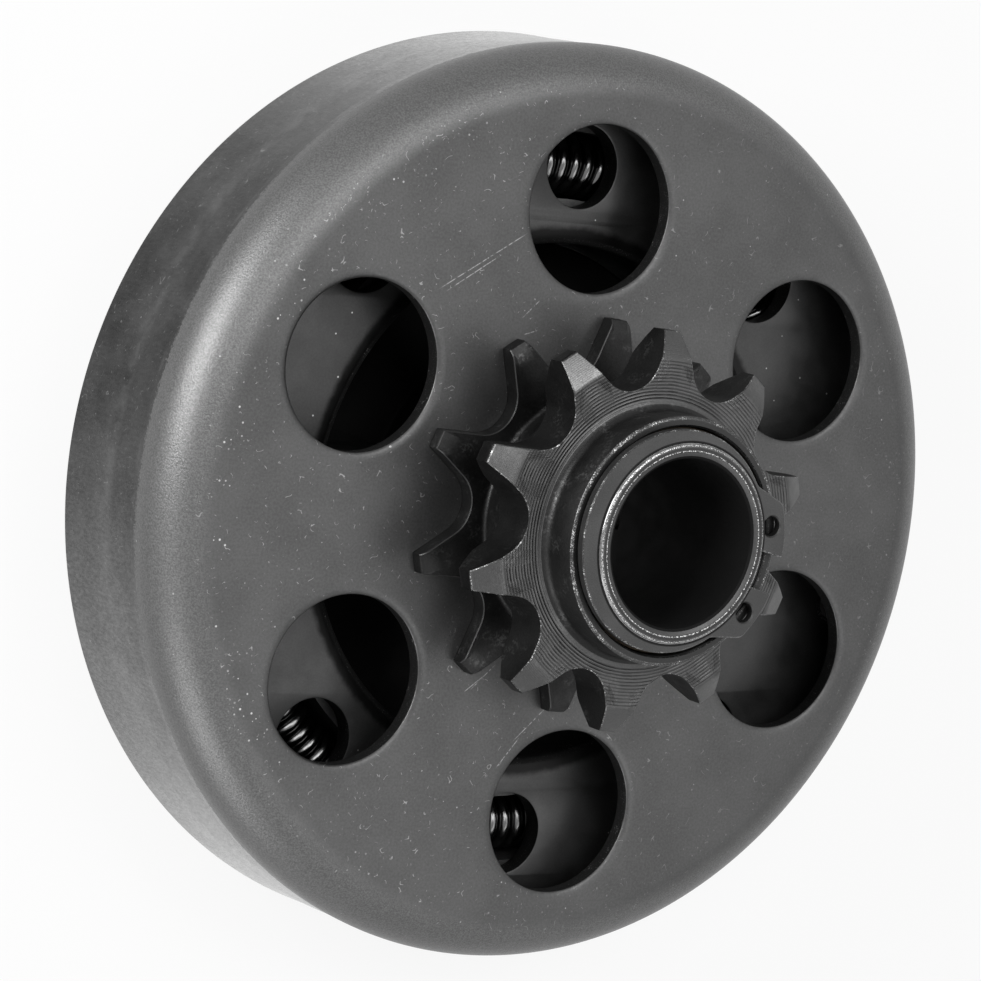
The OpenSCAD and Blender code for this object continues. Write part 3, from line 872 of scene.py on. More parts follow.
@dataclass
class ToothRow:
    """Outline of one tooth: round roller seats and straight flanks up to a blunt tip."""

    teeth: int = 10
    chain_pitch: float = 12.7
    seat_r: float = 4.0
    tip_h: float = 2.25
    tip_half: float = 1.1
    turn: float = 15.1

    @property
    def pitch_r(self) -> float:
        """Radius of the pitch circle."""
        return self.chain_pitch / (2 * math.sin(math.pi / self.teeth))

    @property
    def tip_r(self) -> float:
        """Radius over the tooth tips."""
        return self.pitch_r + self.tip_h

    def tooth(self, grow: float = 0.0) -> list[Flat]:
        """Outline of the tooth on +X, from the middle of one seat to the middle of the next.

        Args:
            grow: How far the outline stands out from the true one.

        Returns:
            Points in anticlockwise order.
        """
        half = math.pi / self.teeth
        seat_c = (self.pitch_r * math.cos(half), self.pitch_r * math.sin(half))
        seat_r, tip_r, tip_half = self.seat_r - grow, self.tip_r + grow, self.tip_half + grow
        tip = (math.sqrt(tip_r ** 2 - tip_half ** 2), tip_half)
        span = math.dist(tip, seat_c)
        length = math.sqrt(span ** 2 - seat_r ** 2)
        angle = math.atan2(seat_c[1] - tip[1], seat_c[0] - tip[0]) + math.asin(seat_r / span)
        join = (tip[0] + length * math.cos(angle), tip[1] + length * math.sin(angle))
        upper = arc((0.0, 0.0), tip_r, 0.0, math.atan2(tip[1], tip[0]), 4)
        upper += [(tip[0] + (join[0] - tip[0]) * k / 9, tip[1] + (join[1] - tip[1]) * k / 9) for k in range(1, 10)]
        seat_from = math.atan2(join[1] - seat_c[1], join[0] - seat_c[0])
        upper += arc(seat_c, seat_r, seat_from, half - math.pi, 16)[1:]
        lower = [(x, -y) for x, y in reversed(upper)]
        return lower[:-1] + upper

    def row(self, grow: float = 0.0) -> list[Flat]:
        """Outline of the whole row, in place."""
        points = []
        for k in range(self.teeth):
            angle = math.radians(self.turn) + k * TAU / self.teeth
            c, s = math.cos(angle), math.sin(angle)
            points += [(x * c - y * s, x * s + y * c) for x, y in self.tooth(grow)[:-1]]
        return points


@dataclass
class Drum:
    """Deep drawn cup with six holes, a large outer corner and a toothed hole for the sprocket."""

    teeth: ToothRow
    rim_r: float = 54.0
    depth: float = 23.4
    wall: float = 2.2
    corner_r: float = 6.3
    draft: float = 0.5
    vents: int = 6
    vent_ring_r: float = 35.0
    vent_r: float = 9.6
    turn: float = 93.5
    roll_w: float = 1.2
    roll_h: float = 0.5
    edge: float = 0.3
    drawn: tuple[Flat, ...] = (
        (16.6, 0.0), (16.2, 0.01), (15.8, 0.035), (15.0, 0.045), (13.5, 0.05), (11.5, 0.055), (10.0, 0.05),
        (9.0, 0.03), (8.5, 0.022), (8.0, 0.03), (7.0, 0.05), (5.5, 0.05), (4.0, 0.035), (2.0, 0.01), (1.0, 0.0),
    )
    seam: float = 0.03
    steps: int = 360

    def skin(self) -> list[Flat]:
        """Section from the outer edge of the face, over the rim, to the inner edge of the web."""
        wall_r = self.rim_r - self.draft
        face_r = wall_r - self.corner_r
        corner_z = self.depth - self.corner_r
        inner_r = wall_r - self.wall
        outer = arc((face_r, corner_z), self.corner_r, math.pi / 2, 0.0, 26)
        wall = []
        for z, dent in self.drawn:
            along = 1 - z / corner_z
            wall.append((wall_r + self.draft * along ** 1.4 - dent, z))
        rim = [(self.rim_r, self.edge), (self.rim_r - self.edge, 0.0), (inner_r + self.edge, 0.0),
               (inner_r, self.edge)]
        inside = arc((face_r, corner_z), self.corner_r - self.wall, 0.0, math.pi / 2, 14)
        return outer + wall + rim + inside

    def hole(self, draft: Draft, index: int) -> tuple[list[int], list[int]]:
        """Adds the rolled edge and wall of one hole, and returns its loops on the face and web."""
        angle = math.radians(self.turn + index * 360 / self.vents)
        centre = (self.vent_ring_r * math.cos(angle), self.vent_ring_r * math.sin(angle))
        count = 128
        rolls = [k * math.pi / 16 for k in range(9)]
        rings = [
            circle(self.vent_r + self.roll_w * (1 - math.sin(a)) ** 1.3,
                   self.depth - self.roll_h * (1 - math.cos(a)), count, centre)
            for a in rolls
        ]
        web_z = self.depth - self.wall
        rings.append(circle(self.vent_r, web_z + 0.9, count, centre))
        rings.append(circle(self.vent_r + 0.08, web_z + 0.12, count, centre))
        rings.append(circle(self.vent_r + 0.2, web_z, count, centre))
        # The lower roll and the hole's wall take the second finish: near-black painted shade with rubbed specks.
        numbers = draft.loft(rings, marks={k: Mark.RUBBED_OR_SHADED for k in range(6, len(rings) - 1)})
        return numbers[0], numbers[-1]

    def build(self) -> bpy.types.Object:
        """Makes the drum."""
        draft = Draft()
        section = self.skin()
        numbers = draft.loft([circle(r, z, self.steps) for r, z in section])
        holes = [self.hole(draft, k) for k in range(self.vents)]
        outline = self.teeth.row(self.seam)
        socket = draft.loft([at_height(outline, self.depth), at_height(outline, self.depth - self.wall)])
        draft.cap([numbers[0]] + [top for top, _ in holes] + [socket[0]])
        draft.cap([numbers[-1]] + [low for _, low in holes] + [socket[1]])
        piece = place("drum_shell", draft.mesh("drum_shell"))
        smooth(piece.data)
        paint_piece(piece, Finish.DRUM, Finish.CUT)
        dress(piece, "drum", "drum_steel", "drum")
        return piece


@dataclass
class Sprocket:
    """Two toothed rows on one turned piece, with a neck, a coved collar and a bore."""

    teeth: ToothRow
    face_z: float = 23.4
    web: float = 2.2
    stub_proud: float = 0.4
    stub_lift: float = 2.0
    row_lift: float = 7.6
    row_w: float = 5.8
    collar_lift: float = 18.2
    bore_r: float = 12.85
    neck_wall: float = 1.65
    collar_wall: float = 1.15
    cove_r: float = 1.1
    fall: float = 1.8
    fall_start: float = 0.75
    stub_chamfer: float = 0.6
    break_w: float = 0.1
    edge: float = 0.3
    collar_edge: float = 0.2
    groove_pitch: float = 0.38
    groove_depth: float = 0.06

    def row_fall(self, radius: float) -> float:
        """How far the front row's faces have fallen away at a radius."""
        start = self.teeth.pitch_r - self.fall_start
        t = max(radius - start, 0.0) / (self.teeth.tip_r - start)
        return self.fall * (0.8 * t + 0.2 * t * t)

    def stub_fall(self, radius: float) -> float:
        """How far the stub's top has fallen away at a radius."""
        return min(max(radius - self.teeth.tip_r + self.stub_chamfer, 0.0), self.stub_chamfer)

    def groove(self, radius: float) -> float:
        """Depth of the lathe grooves on the flat of the front row."""
        start = self.bore_r + self.collar_wall + self.cove_r
        stop = self.teeth.pitch_r - self.fall_start - 0.4
        if not start < radius < stop:
            return 0.0
        return self.groove_depth * (0.5 - 0.5 * math.cos(TAU * (radius - start) / self.groove_pitch))

    def sector(self) -> Draft:
        """One tooth's share of the whole piece, from the middle of a seat to the middle of the next."""
        outline = self.teeth.tooth()
        lip = inset(outline, self.break_w, closed=False)
        angles = [math.atan2(y, x) for x, y in outline]
        half = math.pi / self.teeth.teeth
        angles[0], angles[-1] = -half, half
        lip[0] = (math.hypot(*lip[0]) * math.cos(half), -math.hypot(*lip[0]) * math.sin(half))
        lip[-1] = (lip[0][0], -lip[0][1])
        rings: list[list[Spot]] = []
        marks: dict[int, Mark] = {}

        def mark(kind: Mark) -> None:
            """Marks the strip that starts at the last ring."""
            marks[len(rings) - 1] = kind

        def turned(radius: float, z: float) -> None:
            """Adds a round ring."""
            rings.append([polar(radius, a, z) for a in angles])

        def between(radius: float, share: float, height: Callable[[float], float]) -> None:
            """Adds a ring part of the way from a round ring to the lip of the teeth."""
            ring = []
            for (x, y), a in zip(lip, angles):
                px = radius * math.cos(a) * (1 - share) + x * share
                py = radius * math.sin(a) * (1 - share) + y * share
                ring.append((px, py, height(math.hypot(px, py))))
            rings.append(ring)

        def toothed(height: Callable[[float], float]) -> None:
            """Adds a ring along the outline of the teeth."""
            rings.append([(x, y, height(math.hypot(x, y))) for x, y in outline])

        stub_z = self.face_z - self.web - self.stub_proud
        stub_top = self.face_z + self.stub_lift
        row_z = self.face_z + self.row_lift
        row_top = row_z + self.row_w
        collar_z = self.face_z + self.collar_lift
        neck_r = self.bore_r + self.neck_wall
        collar_r = self.bore_r + self.collar_wall
        b = self.break_w

        # Strips marked SHADED take the near-black painted shade: the stub's side and top, the neck, the row's
        # underside and tooth sides, and most of the cove.
        turned(self.bore_r, stub_z + self.edge)
        turned(self.bore_r + self.edge, stub_z)
        for share in (0.3, 0.7, 1.0):
            between(self.bore_r + self.edge, share, lambda r: stub_z)
        toothed(lambda r: stub_z + b)
        mark(Mark.SHADED)
        toothed(lambda r: stub_top - self.stub_fall(r) - b)
        mark(Mark.FAINT)
        for share in (1.0, 0.85, 0.7, 0.5, 0.3, 0.12):
            between(neck_r + 0.5, share, lambda r: stub_top - self.stub_fall(r))
            mark(Mark.SHADED)
        for k in range(5):
            a = k * math.pi / 8
            turned(neck_r + 0.5 * (1 - math.sin(a)), stub_top + 0.5 * (1 - math.cos(a)))
            mark(Mark.SHADED)
        for k in range(5):
            a = k * math.pi / 8
            turned(neck_r + 0.5 * (1 - math.cos(a)), row_z - 0.5 * (1 - math.sin(a)))
            mark(Mark.SHADED)
        for share in (0.15, 0.35, 0.55, 0.7, 0.85, 1.0):
            between(neck_r + 0.5, share, lambda r: row_z + self.row_fall(r))
            mark(Mark.SHADED)
        mark(Mark.FAINT)
        toothed(lambda r: row_z + self.row_fall(r) + b)
        mark(Mark.SHADED)
        for k in range(1, 4):
            share = k / 4
            toothed(lambda r, s=share: (row_z + self.row_fall(r) + b) * (1 - s)
                    + (row_top - self.row_fall(r) - b) * s)
            mark(Mark.SHADED)
        toothed(lambda r: row_top - self.row_fall(r) - b)
        mark(Mark.RUBBED_OR_SHADED)
        cuts = 72
        for k in range(cuts):
            between(collar_r + self.cove_r, 1 - k / cuts,
                    lambda r: row_top - self.row_fall(r) - self.groove(r))
        for k in range(9):
            a = k * math.pi / 16
            turned(collar_r + self.cove_r * (1 - math.sin(a)), row_top + self.cove_r * (1 - math.cos(a)))
            if k > 1:
                mark(Mark.SHADED)
        c = self.collar_edge
        turned(collar_r, collar_z - c)
        mark(Mark.RUBBED_OR_SHADED)
        turned(collar_r - c * 0.4, collar_z - c * 0.3)
        mark(Mark.RUBBED_OR_SHADED)
        turned(collar_r - c, collar_z)
        mark(Mark.RUBBED_OR_SHADED)
        turned(collar_r - c - 0.2, collar_z)
        mark(Mark.FAINT)
        turned(self.bore_r + c, collar_z)
        mark(Mark.RUBBED_OR_SHADED)
        turned(self.bore_r + c * 0.5, collar_z - c * 0.5)
        turned(self.bore_r, collar_z - c)
        draft = Draft()
        draft.loft(rings, closed=False, looped=True, marks=marks)
        return draft

    def build(self) -> bpy.types.Object:
        """Makes the sprocket from its tooth sectors."""
        seed = self.sector().mesh("tooth_sector")
        count = self.teeth.teeth
        finishes = (Finish.SPROCKET, Finish.EDGE, Finish.SPROCKET_SHADE, Finish.EDGE_FAINT)
        piece = round_copies("sprocket_turned", seed, count, self.teeth.turn, 360 / count, *finishes)
        smooth(piece.data, 34)
        dress(piece, "drum", "sprocket_steel", "sprocket")
        return piece


def solid_box(name: str, low: Spot, high: Spot) -> bpy.types.Object:
    """A plain block between two corners in millimetres, for cutting and joining."""
    draft = Draft()
    corners = [(low[0], low[1]), (high[0], low[1]), (high[0], high[1]), (low[0], high[1])]
    numbers = draft.loft([at_height(corners, low[2]), at_height(corners, high[2])])
    draft.cap([numbers[0]])
    draft.cap([numbers[1]])
    return place(name, draft.mesh(name))


def solid_turned(name: str, section: Sequence[Flat], steps: int) -> bpy.types.Object:
    """A turned solid from a closed section of radii and heights in millimetres."""
    draft = Draft()
    draft.loft([circle(r, z, steps) for r, z in section], looped=True)
    return place(name, draft.mesh(name))


def shape_by(target: bpy.types.Object, tool: bpy.types.Object, operation: str) -> None:
    """Joins, cuts or trims a piece by a tool, which is removed.

    Args:
        target: The piece.
        tool: The solid that shapes it.
        operation: UNION, DIFFERENCE or INTERSECT.
    """
    shaping = target.modifiers.new("shape", "BOOLEAN")
    shaping.operation = operation
    shaping.solver = "EXACT"
    shaping.object = tool
    settle(target)
    bpy.data.objects.remove(tool)


@dataclass
class Hub:
    """Tube with a thick rear part, a rear disc and two forked ears that drive the shoes."""

    bore_r: float = 9.525
    tube_r: float = 11.2
    low_z: float = 0.4
    high_z: float = 43.2
    shoulder_z: float = 19.4
    shoulder_w: float = 5.8
    disc_r: float = 30.2
    disc_t: float = 5.0
    ear_w: float = 10.0
    ear_reach: float = 46.0
    ear_top: float = 15.7
    slot_r: float = 35.05
    slot_low: float = 4.7
    slot_high: float = 13.6
    key_w: float = 4.76
    key_depth: float = 2.4
    groove_z: float = 41.75
    groove_w: float = 1.2
    groove_r: float = 10.55
    chamfer: float = 0.4
    nose_r: float = 0.4
    mouth_w: float = 0.7
    mouth_h: float = 0.25
    mouth_edge: float = 0.14
    steps: int = 256

    def section(self) -> list[Flat]:
        """Closed section of the turned part."""
        boss_r = self.tube_r + self.shoulder_w
        c, e, n = self.chamfer, 0.3, self.nose_r
        mouth_r = self.bore_r + self.mouth_w
        front = [
            (self.tube_r, self.shoulder_z), (self.tube_r, self.groove_z), (self.groove_r, self.groove_z),
            (self.groove_r, self.groove_z + self.groove_w), (self.tube_r, self.groove_z + self.groove_w),
            *arc((self.tube_r - n, self.high_z - n), n, 0.0, math.pi / 2, 6),
            (mouth_r + self.mouth_edge, self.high_z), (mouth_r, self.high_z - 0.02),
            (self.bore_r + self.mouth_w * 0.4, self.high_z - self.mouth_h * 0.75),
            (self.bore_r, self.high_z - self.mouth_h - 0.12),
        ]
        rear = [
            (self.bore_r, self.low_z + c), (self.bore_r + c, self.low_z), (self.disc_r - e, self.low_z),
            (self.disc_r, self.low_z + e), (self.disc_r, self.low_z + self.disc_t - e),
            (self.disc_r - e, self.low_z + self.disc_t), (boss_r + 0.8, self.low_z + self.disc_t),
            (boss_r + 0.25, self.low_z + self.disc_t + 0.25), (boss_r, self.low_z + self.disc_t + 0.8),
            (boss_r, self.shoulder_z - e), (boss_r - e, self.shoulder_z),
        ]
        return front + rear

    def build(self) -> bpy.types.Object:
        """Makes the hub in one piece."""
        piece = solid_turned("hub_driver", self.section(), self.steps)
        half, reach = self.ear_w / 2, self.ear_reach + 5
        ears = solid_box("ears", (-reach, -half, self.low_z), (reach, half, self.ear_top))
        low_e, high_e = self.low_z - 5, self.ear_top + 5
        reach_ring = [(self.tube_r + 1, low_e), (self.ear_reach, low_e), (self.ear_reach, high_e), (self.tube_r + 1, high_e)]
        shape_by(ears, solid_turned("reach", reach_ring, self.steps), "INTERSECT")
        slot = [(self.slot_r, self.slot_low), (reach, self.slot_low), (reach, self.slot_high), (self.slot_r, self.slot_high)]
        shape_by(ears, solid_turned("slot", slot, self.steps), "DIFFERENCE")
        shape_by(piece, ears, "UNION")
        key = solid_box("key", (0.0, -self.key_w / 2, self.low_z - 1),
                        (self.bore_r + self.key_depth, self.key_w / 2, self.shoulder_z - 1))
        shape_by(piece, key, "DIFFERENCE")
        mouth_r = self.bore_r + self.mouth_w
        mark_faces(piece, Mark.RUBBED_OR_SHADED, lambda r, z: z > self.high_z - self.nose_r and r > mouth_r)
        # Painted shade: the hub's parts inside the drum, above its back face, and its bore take the near-black finish.
        back_z = self.low_z + 0.05
        mark_faces(piece, Mark.SHADED, lambda r, z: back_z < z < self.shoulder_z + 1)
        mark_faces(piece, Mark.SHADED, lambda r, z: r < self.bore_r + self.mouth_w * 0.4)
        smooth(piece.data)
        paint_piece(piece, Finish.HUB, Finish.RIM, Finish.HUB_SHADE)
        dress(piece, "hub", "hub_steel", "hub")
        return piece


@dataclass
class Circlip:
    """External retaining ring: a tapered ring stamped from spring steel, with two eyed ears."""

    low_z: float = 41.8
    thick: float = 1.1
    inner_r: float = 10.55
    ring_r: float = 12.45
    shift: float = 0.95
    ear_r: float = 14.4
    foot_half: float = 10.6
    tip_half: float = 7.35
    half_gap: float = 2.1
    eye_r: float = 1.15
    eye_turn: float = 23.9
    turn: float = -13.5
    edge: float = 0.15

    def side_meets(self, centre_x: float, radius: float) -> Flat:
        """Where the straight side of an ear crosses a circle whose centre lies on X."""
        slope = (self.tip_half - self.foot_half) / self.ear_r
        rise = self.foot_half + slope * centre_x
        a, b, c = 1 + slope ** 2, 2 * slope * rise, rise ** 2 - radius ** 2
        along = (-b + math.sqrt(b * b - 4 * a * c)) / (2 * a)
        return (centre_x + along, rise + slope * along)

    @staticmethod
    def bend(before: Flat, corner: Flat, after: Flat, reach: float) -> list[Flat]:
        """Rounds a corner between its two neighbours, starting and ending at reach from it."""
        points = []
        ends = []
        for other in (before, after):
            share = reach / math.dist(corner, other)
            ends.append([corner[k] + (other[k] - corner[k]) * share for k in range(2)])
        for t in (0.0, 0.25, 0.5, 0.75, 1.0):
            a, b, c = (1 - t) ** 2, 2 * t * (1 - t), t ** 2
            points.append(tuple(a * ends[0][k] + b * corner[k] + c * ends[1][k] for k in range(2)))
        return points

    def outline(self) -> list[Flat]:
        """The whole outline, anticlockwise, with the gap on +X."""
        gap_corner = (math.sqrt(self.ear_r ** 2 - self.half_gap ** 2), self.half_gap)
        tip = self.side_meets(0.0, self.ear_r)
        join = self.side_meets(-self.shift, self.ring_r)
        gap_angle, tip_angle = (math.atan2(p[1], p[0]) for p in (gap_corner, tip))
        join_angle = math.atan2(join[1], join[0] + self.shift)
        land = arc((0.0, 0.0), self.ear_r, gap_angle, tip_angle, 10)
        ring = arc((-self.shift, 0.0), self.ring_r, join_angle, math.pi, 64)
        upper = self.bend((self.inner_r, self.half_gap), gap_corner, land[1], 0.35)
        upper += land[2:-2]
        upper += self.bend(land[-2], tip, join, 0.55)
        upper += self.bend(tip, join, ring[1], 0.3)
        upper += ring[2:]
        lower = [(x, -y) for x, y in reversed(upper[:-1])]
        inner_gap = math.asin(self.half_gap / self.inner_r)
        return upper + lower + arc((0.0, 0.0), self.inner_r, -inner_gap, inner_gap - TAU, 128)

    def build(self) -> bpy.types.Object:
        """Makes the ring."""
        loop = self.outline()
        draft = Draft()
        stack = [(self.edge, 0.0), (0.0, self.edge), (0.0, self.thick - self.edge), (self.edge, self.thick)]
        rings = [at_height(inset(loop, d), self.low_z + z) for d, z in stack]
        outer = draft.loft(rings, marks={2: Mark.RUBBED_OR_SHADED})
        eyes = []
        eye_ring_r = (self.inner_r + self.ear_r) / 2
        for side in (-1, 1):
            x, y, _ = polar(eye_ring_r, math.radians(side * self.eye_turn), 0.0)
            eyes.append(draft.loft([circle(self.eye_r + d, self.low_z + z, 48, (x, y)) for d, z in stack]))
        draft.cap([outer[0]] + [eye[0] for eye in eyes])
        draft.cap([outer[-1]] + [eye[-1] for eye in eyes])
        piece = place("circlip_ring", draft.mesh("circlip_ring", self.turn))
        smooth(piece.data, 40)
        paint_piece(piece, Finish.CLIP, Finish.EDGE)
        dress(piece, "hub", "spring_steel", "circlip")
        return piece


class Side(Enum):
    """The two shoes: their body and the direction that they slide in, in degrees."""

    A = ("shoe_a", 90.0)
    B = ("shoe_b", 270.0)

    @property
    def body(self) -> str:
        """The shoe's body."""
        return self.value[0]

    @property
    def turn(self) -> float:
        """Angle from the drawn side, +Y, in degrees."""
        return self.value[1] - 90.0


@dataclass
class Shoe:
    """One half ring shoe: a grooved block, a windowed cover and four rivets."""

    side: Side
    outer_r: float = 50.2
    inner_r: float = 30.4
    low_z: float = 0.7
    top_z: float = 15.7
    cover_t: float = 2.5
    end_y: float = 5.3
    groove_in: float = 35.45
    groove_out: float = 43.35
    groove_z: float = 5.4
    window_r: float = 4.85
    window_ring_r: float = 39.4
    window_step: float = 45.0
    roll_w: float = 2.4
    roll_h: float = 0.7
    edge: float = 0.3
    rivet_ring_r: float = 47.175
    rivet_step: float = 51.0
    rivet_r: float = 2.0
    rivet_head_r: float = 2.7
    rivet_head_h: float = 1.0
    steps: int = 120

    def half_ring(self, outer: float, inner: float, end: float, z_outer: float, z_inner: float) -> list[Spot]:
        """Outline of a half ring, with its own height along the outer and the inner edge."""
        a, b = math.asin(end / outer), math.asin(end / inner)
        points = [(x, y, z_outer) for x, y in arc((0.0, 0.0), outer, a, math.pi - a, self.steps)]
        points += [(x, y, z_inner) for x, y in arc((0.0, 0.0), inner, math.pi - b, b, self.steps)]
        return points

    def rivet_spots(self) -> list[Flat]:
        """Centres of the rivets."""
        angles = [math.radians(90 + (k - 1.5) * self.rivet_step) for k in range(4)]
        return [(self.rivet_ring_r * math.cos(a), self.rivet_ring_r * math.sin(a)) for a in angles]

    def cover(self) -> bpy.types.Object:
        """Makes the cover plate with its round windows and rolled inner edge."""
        draft = Draft()
        low, high, e = self.top_z - self.cover_t, self.top_z, self.edge
        rings = [self.half_ring(self.outer_r, self.inner_r, self.end_y, low, low),
                 self.half_ring(self.outer_r, self.inner_r, self.end_y, high - e, high - self.roll_h)]
        for k in range(1, 9):
            a = k * math.pi / 16
            rise, run = 1 - math.cos(math.pi / 2 - a), 1 - math.sin(math.pi / 2 - a)
            rings.append(self.half_ring(self.outer_r - e * run, self.inner_r + self.roll_w * run,
                                        self.end_y + e * run, high - e * rise, high - self.roll_h * rise))
        skin = draft.loft(rings)
        tops, lows = [skin[-1]], [skin[0]]
        for k in (-1, 0, 1):
            angle = math.radians(90 + k * self.window_step)
            centre = (self.window_ring_r * math.cos(angle), self.window_ring_r * math.sin(angle))
            stack = [(0.25, high), (0.07, high - 0.07), (0.0, high - 0.3), (0.0, low + 0.1), (0.05, low)]
            stack_rings = [circle(self.window_r + d, z, 96, centre) for d, z in stack]
            # The window's wall takes near-black painted shade with rubbed specks.
            window = draft.loft(stack_rings, marks={k: Mark.RUBBED_OR_SHADED for k in range(1, 4)})
            tops.append(window[0])
            lows.append(window[-1])
        for centre in self.rivet_spots():
            seat = [(self.rivet_head_r + 0.04, high), (self.rivet_r + 0.02, high - self.rivet_head_h),
                    (self.rivet_r + 0.02, low)]
            bore = draft.loft([circle(r, z, 48, centre) for r, z in seat])
            tops.append(bore[0])
            lows.append(bore[-1])
        draft.cap(tops)
        draft.cap(lows)
        name = f"{self.side.body}_cover_plate"
        piece = place(name, draft.mesh(name, self.side.turn))
        smooth(piece.data)
        # The inner edge takes near-black painted shade with rubbed specks.
        mark_faces(piece, Mark.RUBBED_OR_SHADED, lambda r, z: r < self.inner_r + 0.6)
        paint_piece(piece, Finish.COVER, Finish.CUT)
        dress(piece, self.side.body, "cover_steel", f"{self.side.body}_cover")
        return piece

    def block(self) -> bpy.types.Object:
        """Makes the grooved weight under the cover."""
        draft = Draft()
        e, top = self.edge, self.top_z - self.cover_t
        section = [
            (self.inner_r + e, self.low_z), (self.outer_r - e, self.low_z), (self.outer_r, self.low_z + e),
            (self.outer_r, top), (self.groove_out, top), (self.groove_out, self.groove_z + 0.6),
            (self.groove_out - 0.6, self.groove_z), (self.groove_in + 0.6, self.groove_z),
            (self.groove_in, self.groove_z + 0.6), (self.groove_in, top), (self.inner_r, top),
            (self.inner_r, self.low_z + e),
        ]
        rings = []
        for k in range(self.steps + 1):
            ring = []
            for radius, z in section:
                start = math.asin(self.end_y / radius)
                ring.append(polar(radius, start + (math.pi - 2 * start) * k / self.steps, z))
            rings.append(ring)
        numbers = draft.loft(rings)
        draft.cap([numbers[0]])
        draft.cap([numbers[-1]])
        name = f"{self.side.body}_weight"
        piece = place(name, draft.mesh(name, self.side.turn))
        smooth(piece.data)
        # The block's inner side takes near-black painted shade with rubbed specks.
        mark_faces(piece, Mark.RUBBED_OR_SHADED, lambda r, z: r < self.inner_r + 0.2)
        paint_piece(piece, Finish.BLOCK, Finish.CUT)
        dress(piece, self.side.body, "shoe_steel", f"{self.side.body}_block")
        return piece

    def rivets(self) -> bpy.types.Object:
        """Makes the four countersunk rivets, peened flush at both ends."""
        low, high, crown = self.low_z, self.top_z, 0.06
        section = [(0.0, low), (self.rivet_head_r - 0.5, low + 0.01), (self.rivet_head_r, low + crown),
                   (self.rivet_r, low + self.rivet_head_h), (self.rivet_r, high - self.rivet_head_h),
                   (self.rivet_head_r, high - crown), (self.rivet_head_r - 0.5, high - 0.01), (0.0, high)]
        draft = Draft()
        rings = [circle(max(r, 0.02), z, 40, (self.rivet_ring_r, 0.0)) for r, z in section]
        numbers = draft.loft(rings, marks={1: Mark.RUBBED_OR_SHADED, 5: Mark.RUBBED_OR_SHADED})
        draft.cap([numbers[0]])
        draft.cap([numbers[-1]])
        name = f"{self.side.body}_rivets"
        start = self.side.value[1] - 1.5 * self.rivet_step
        piece = round_copies(name, draft.mesh(name), 4, start, self.rivet_step, Finish.RIVET, Finish.EDGE)
        smooth(piece.data)
        dress(piece, self.side.body, "rivet_steel", *(f"{self.side.body}_rivet_{k}" for k in range(1, 5)))
        return piece

    def build(self) -> None:
        """Makes the shoe."""
        self.block()
        self.cover()
        self.rivets()


@dataclass
class GarterSpring:
    """Close wound spring ring, grown as two halves."""

    ring_r: float = 39.4
    ring_z: float = 9.3
    coil_d: float = 7.2
    wire_d: float = 1.6
    turns: int = 136
    end_y: float = 5.3

    def half(self, side: Side) -> bpy.types.Object:
        """Grows one half of the ring.

        Args:
            side: The shoe on whose side the half lies.

        Returns:
            The half ring.
        """
        per_turn = 20
        tree = Growth(f"coil_{side.name.lower()}", {
            "Ring Radius": ("NodeSocketFloat", self.ring_r * MM),
            "Ring Height": ("NodeSocketFloat", self.ring_z * MM),
            "Coil Radius": ("NodeSocketFloat", (self.coil_d - self.wire_d) / 2 * MM),
            "Wire Radius": ("NodeSocketFloat", self.wire_d / 2 * MM),
            "Turns": ("NodeSocketFloat", self.turns / 2),
            "Start": ("NodeSocketFloat", math.radians(side.turn)),
            "Points": ("NodeSocketInt", self.turns // 2 * per_turn + 1),
            "Wire Sides": ("NodeSocketInt", 12),
            "Finish": ("NodeSocketMaterial", Finish.WIRE.material),
        })
        line = tree.node("GeometryNodeMeshLine", None, {"Count": tree.use("Points"), "Offset": (0, 0, 0.001)})
        share = tree.value("GeometryNodeInputIndex") / (tree.use("Points") - 1.0)
        angle = share * math.pi + tree.use("Start")
        phase = share * tree.use("Turns") * TAU
        reach = tree.use("Ring Radius") + tree.use("Coil Radius") * phase.cosine()
        height = tree.use("Ring Height") + tree.use("Coil Radius") * phase.sine()
        sockets = {0: reach * angle.cosine(), 1: reach * angle.sine(), 2: height}
        spot = tree.node("ShaderNodeCombineXYZ", None, sockets)
        sockets = {"Geometry": line.outputs[0], "Position": spot.outputs[0]}
        wound = tree.node("GeometryNodeSetPosition", None, sockets)
        path = tree.node("GeometryNodeMeshToCurve", None, {0: wound.outputs[0]})
        sockets = {"Resolution": tree.use("Wire Sides"), "Radius": tree.use("Wire Radius")}
        profile = tree.node("GeometryNodeCurvePrimitiveCircle", None, sockets)
        sockets = {0: path.outputs[0], "Profile Curve": profile.outputs[0], "Fill Caps": True}
        wire = tree.node("GeometryNodeCurveToMesh", None, sockets)
        tree.end(wire.outputs[0], [("Finish", None)])
        piece = tree.grow(f"garter_spring_{side.name.lower()}")
        smooth(piece.data, 60)
        sign = 1.0 if side is Side.A else -1.0
        start, end = (0.0, 0.0, self.ring_z * MM), (0.0, sign * self.end_y * MM, self.ring_z * MM)
        side.body
        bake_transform(piece)
        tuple(start)
        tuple(end)
        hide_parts("garter_spring")
        LOG.info("%s: %d faces between hub and %s", piece.name, len(piece.data.polygons), side.body)
        return piece

    def build(self) -> None:
        """Makes both halves."""
        for side in Side:
            self.half(side)


@dataclass
class Bearing:
    """The plain bearing and its two thrust washers, whose frame solids stay."""

    finishes: dict[str, Finish] = field(default_factory=lambda: {
        "bushing": Finish.BUSH,
        "rear_thrust_washer": Finish.WASHER,
        "front_thrust_washer": Finish.WASHER,
    })

    def build(self) -> None:
        """Gives each solid its finish."""
        for name, finish in self.finishes.items():
            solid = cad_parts[name]
            if not solid.material_slots:
                solid.data.materials.append(finish.material)
            for spot in solid.material_slots:
                spot.material = finish.material
            LOG.info("%s: %s", name, finish.value.name)


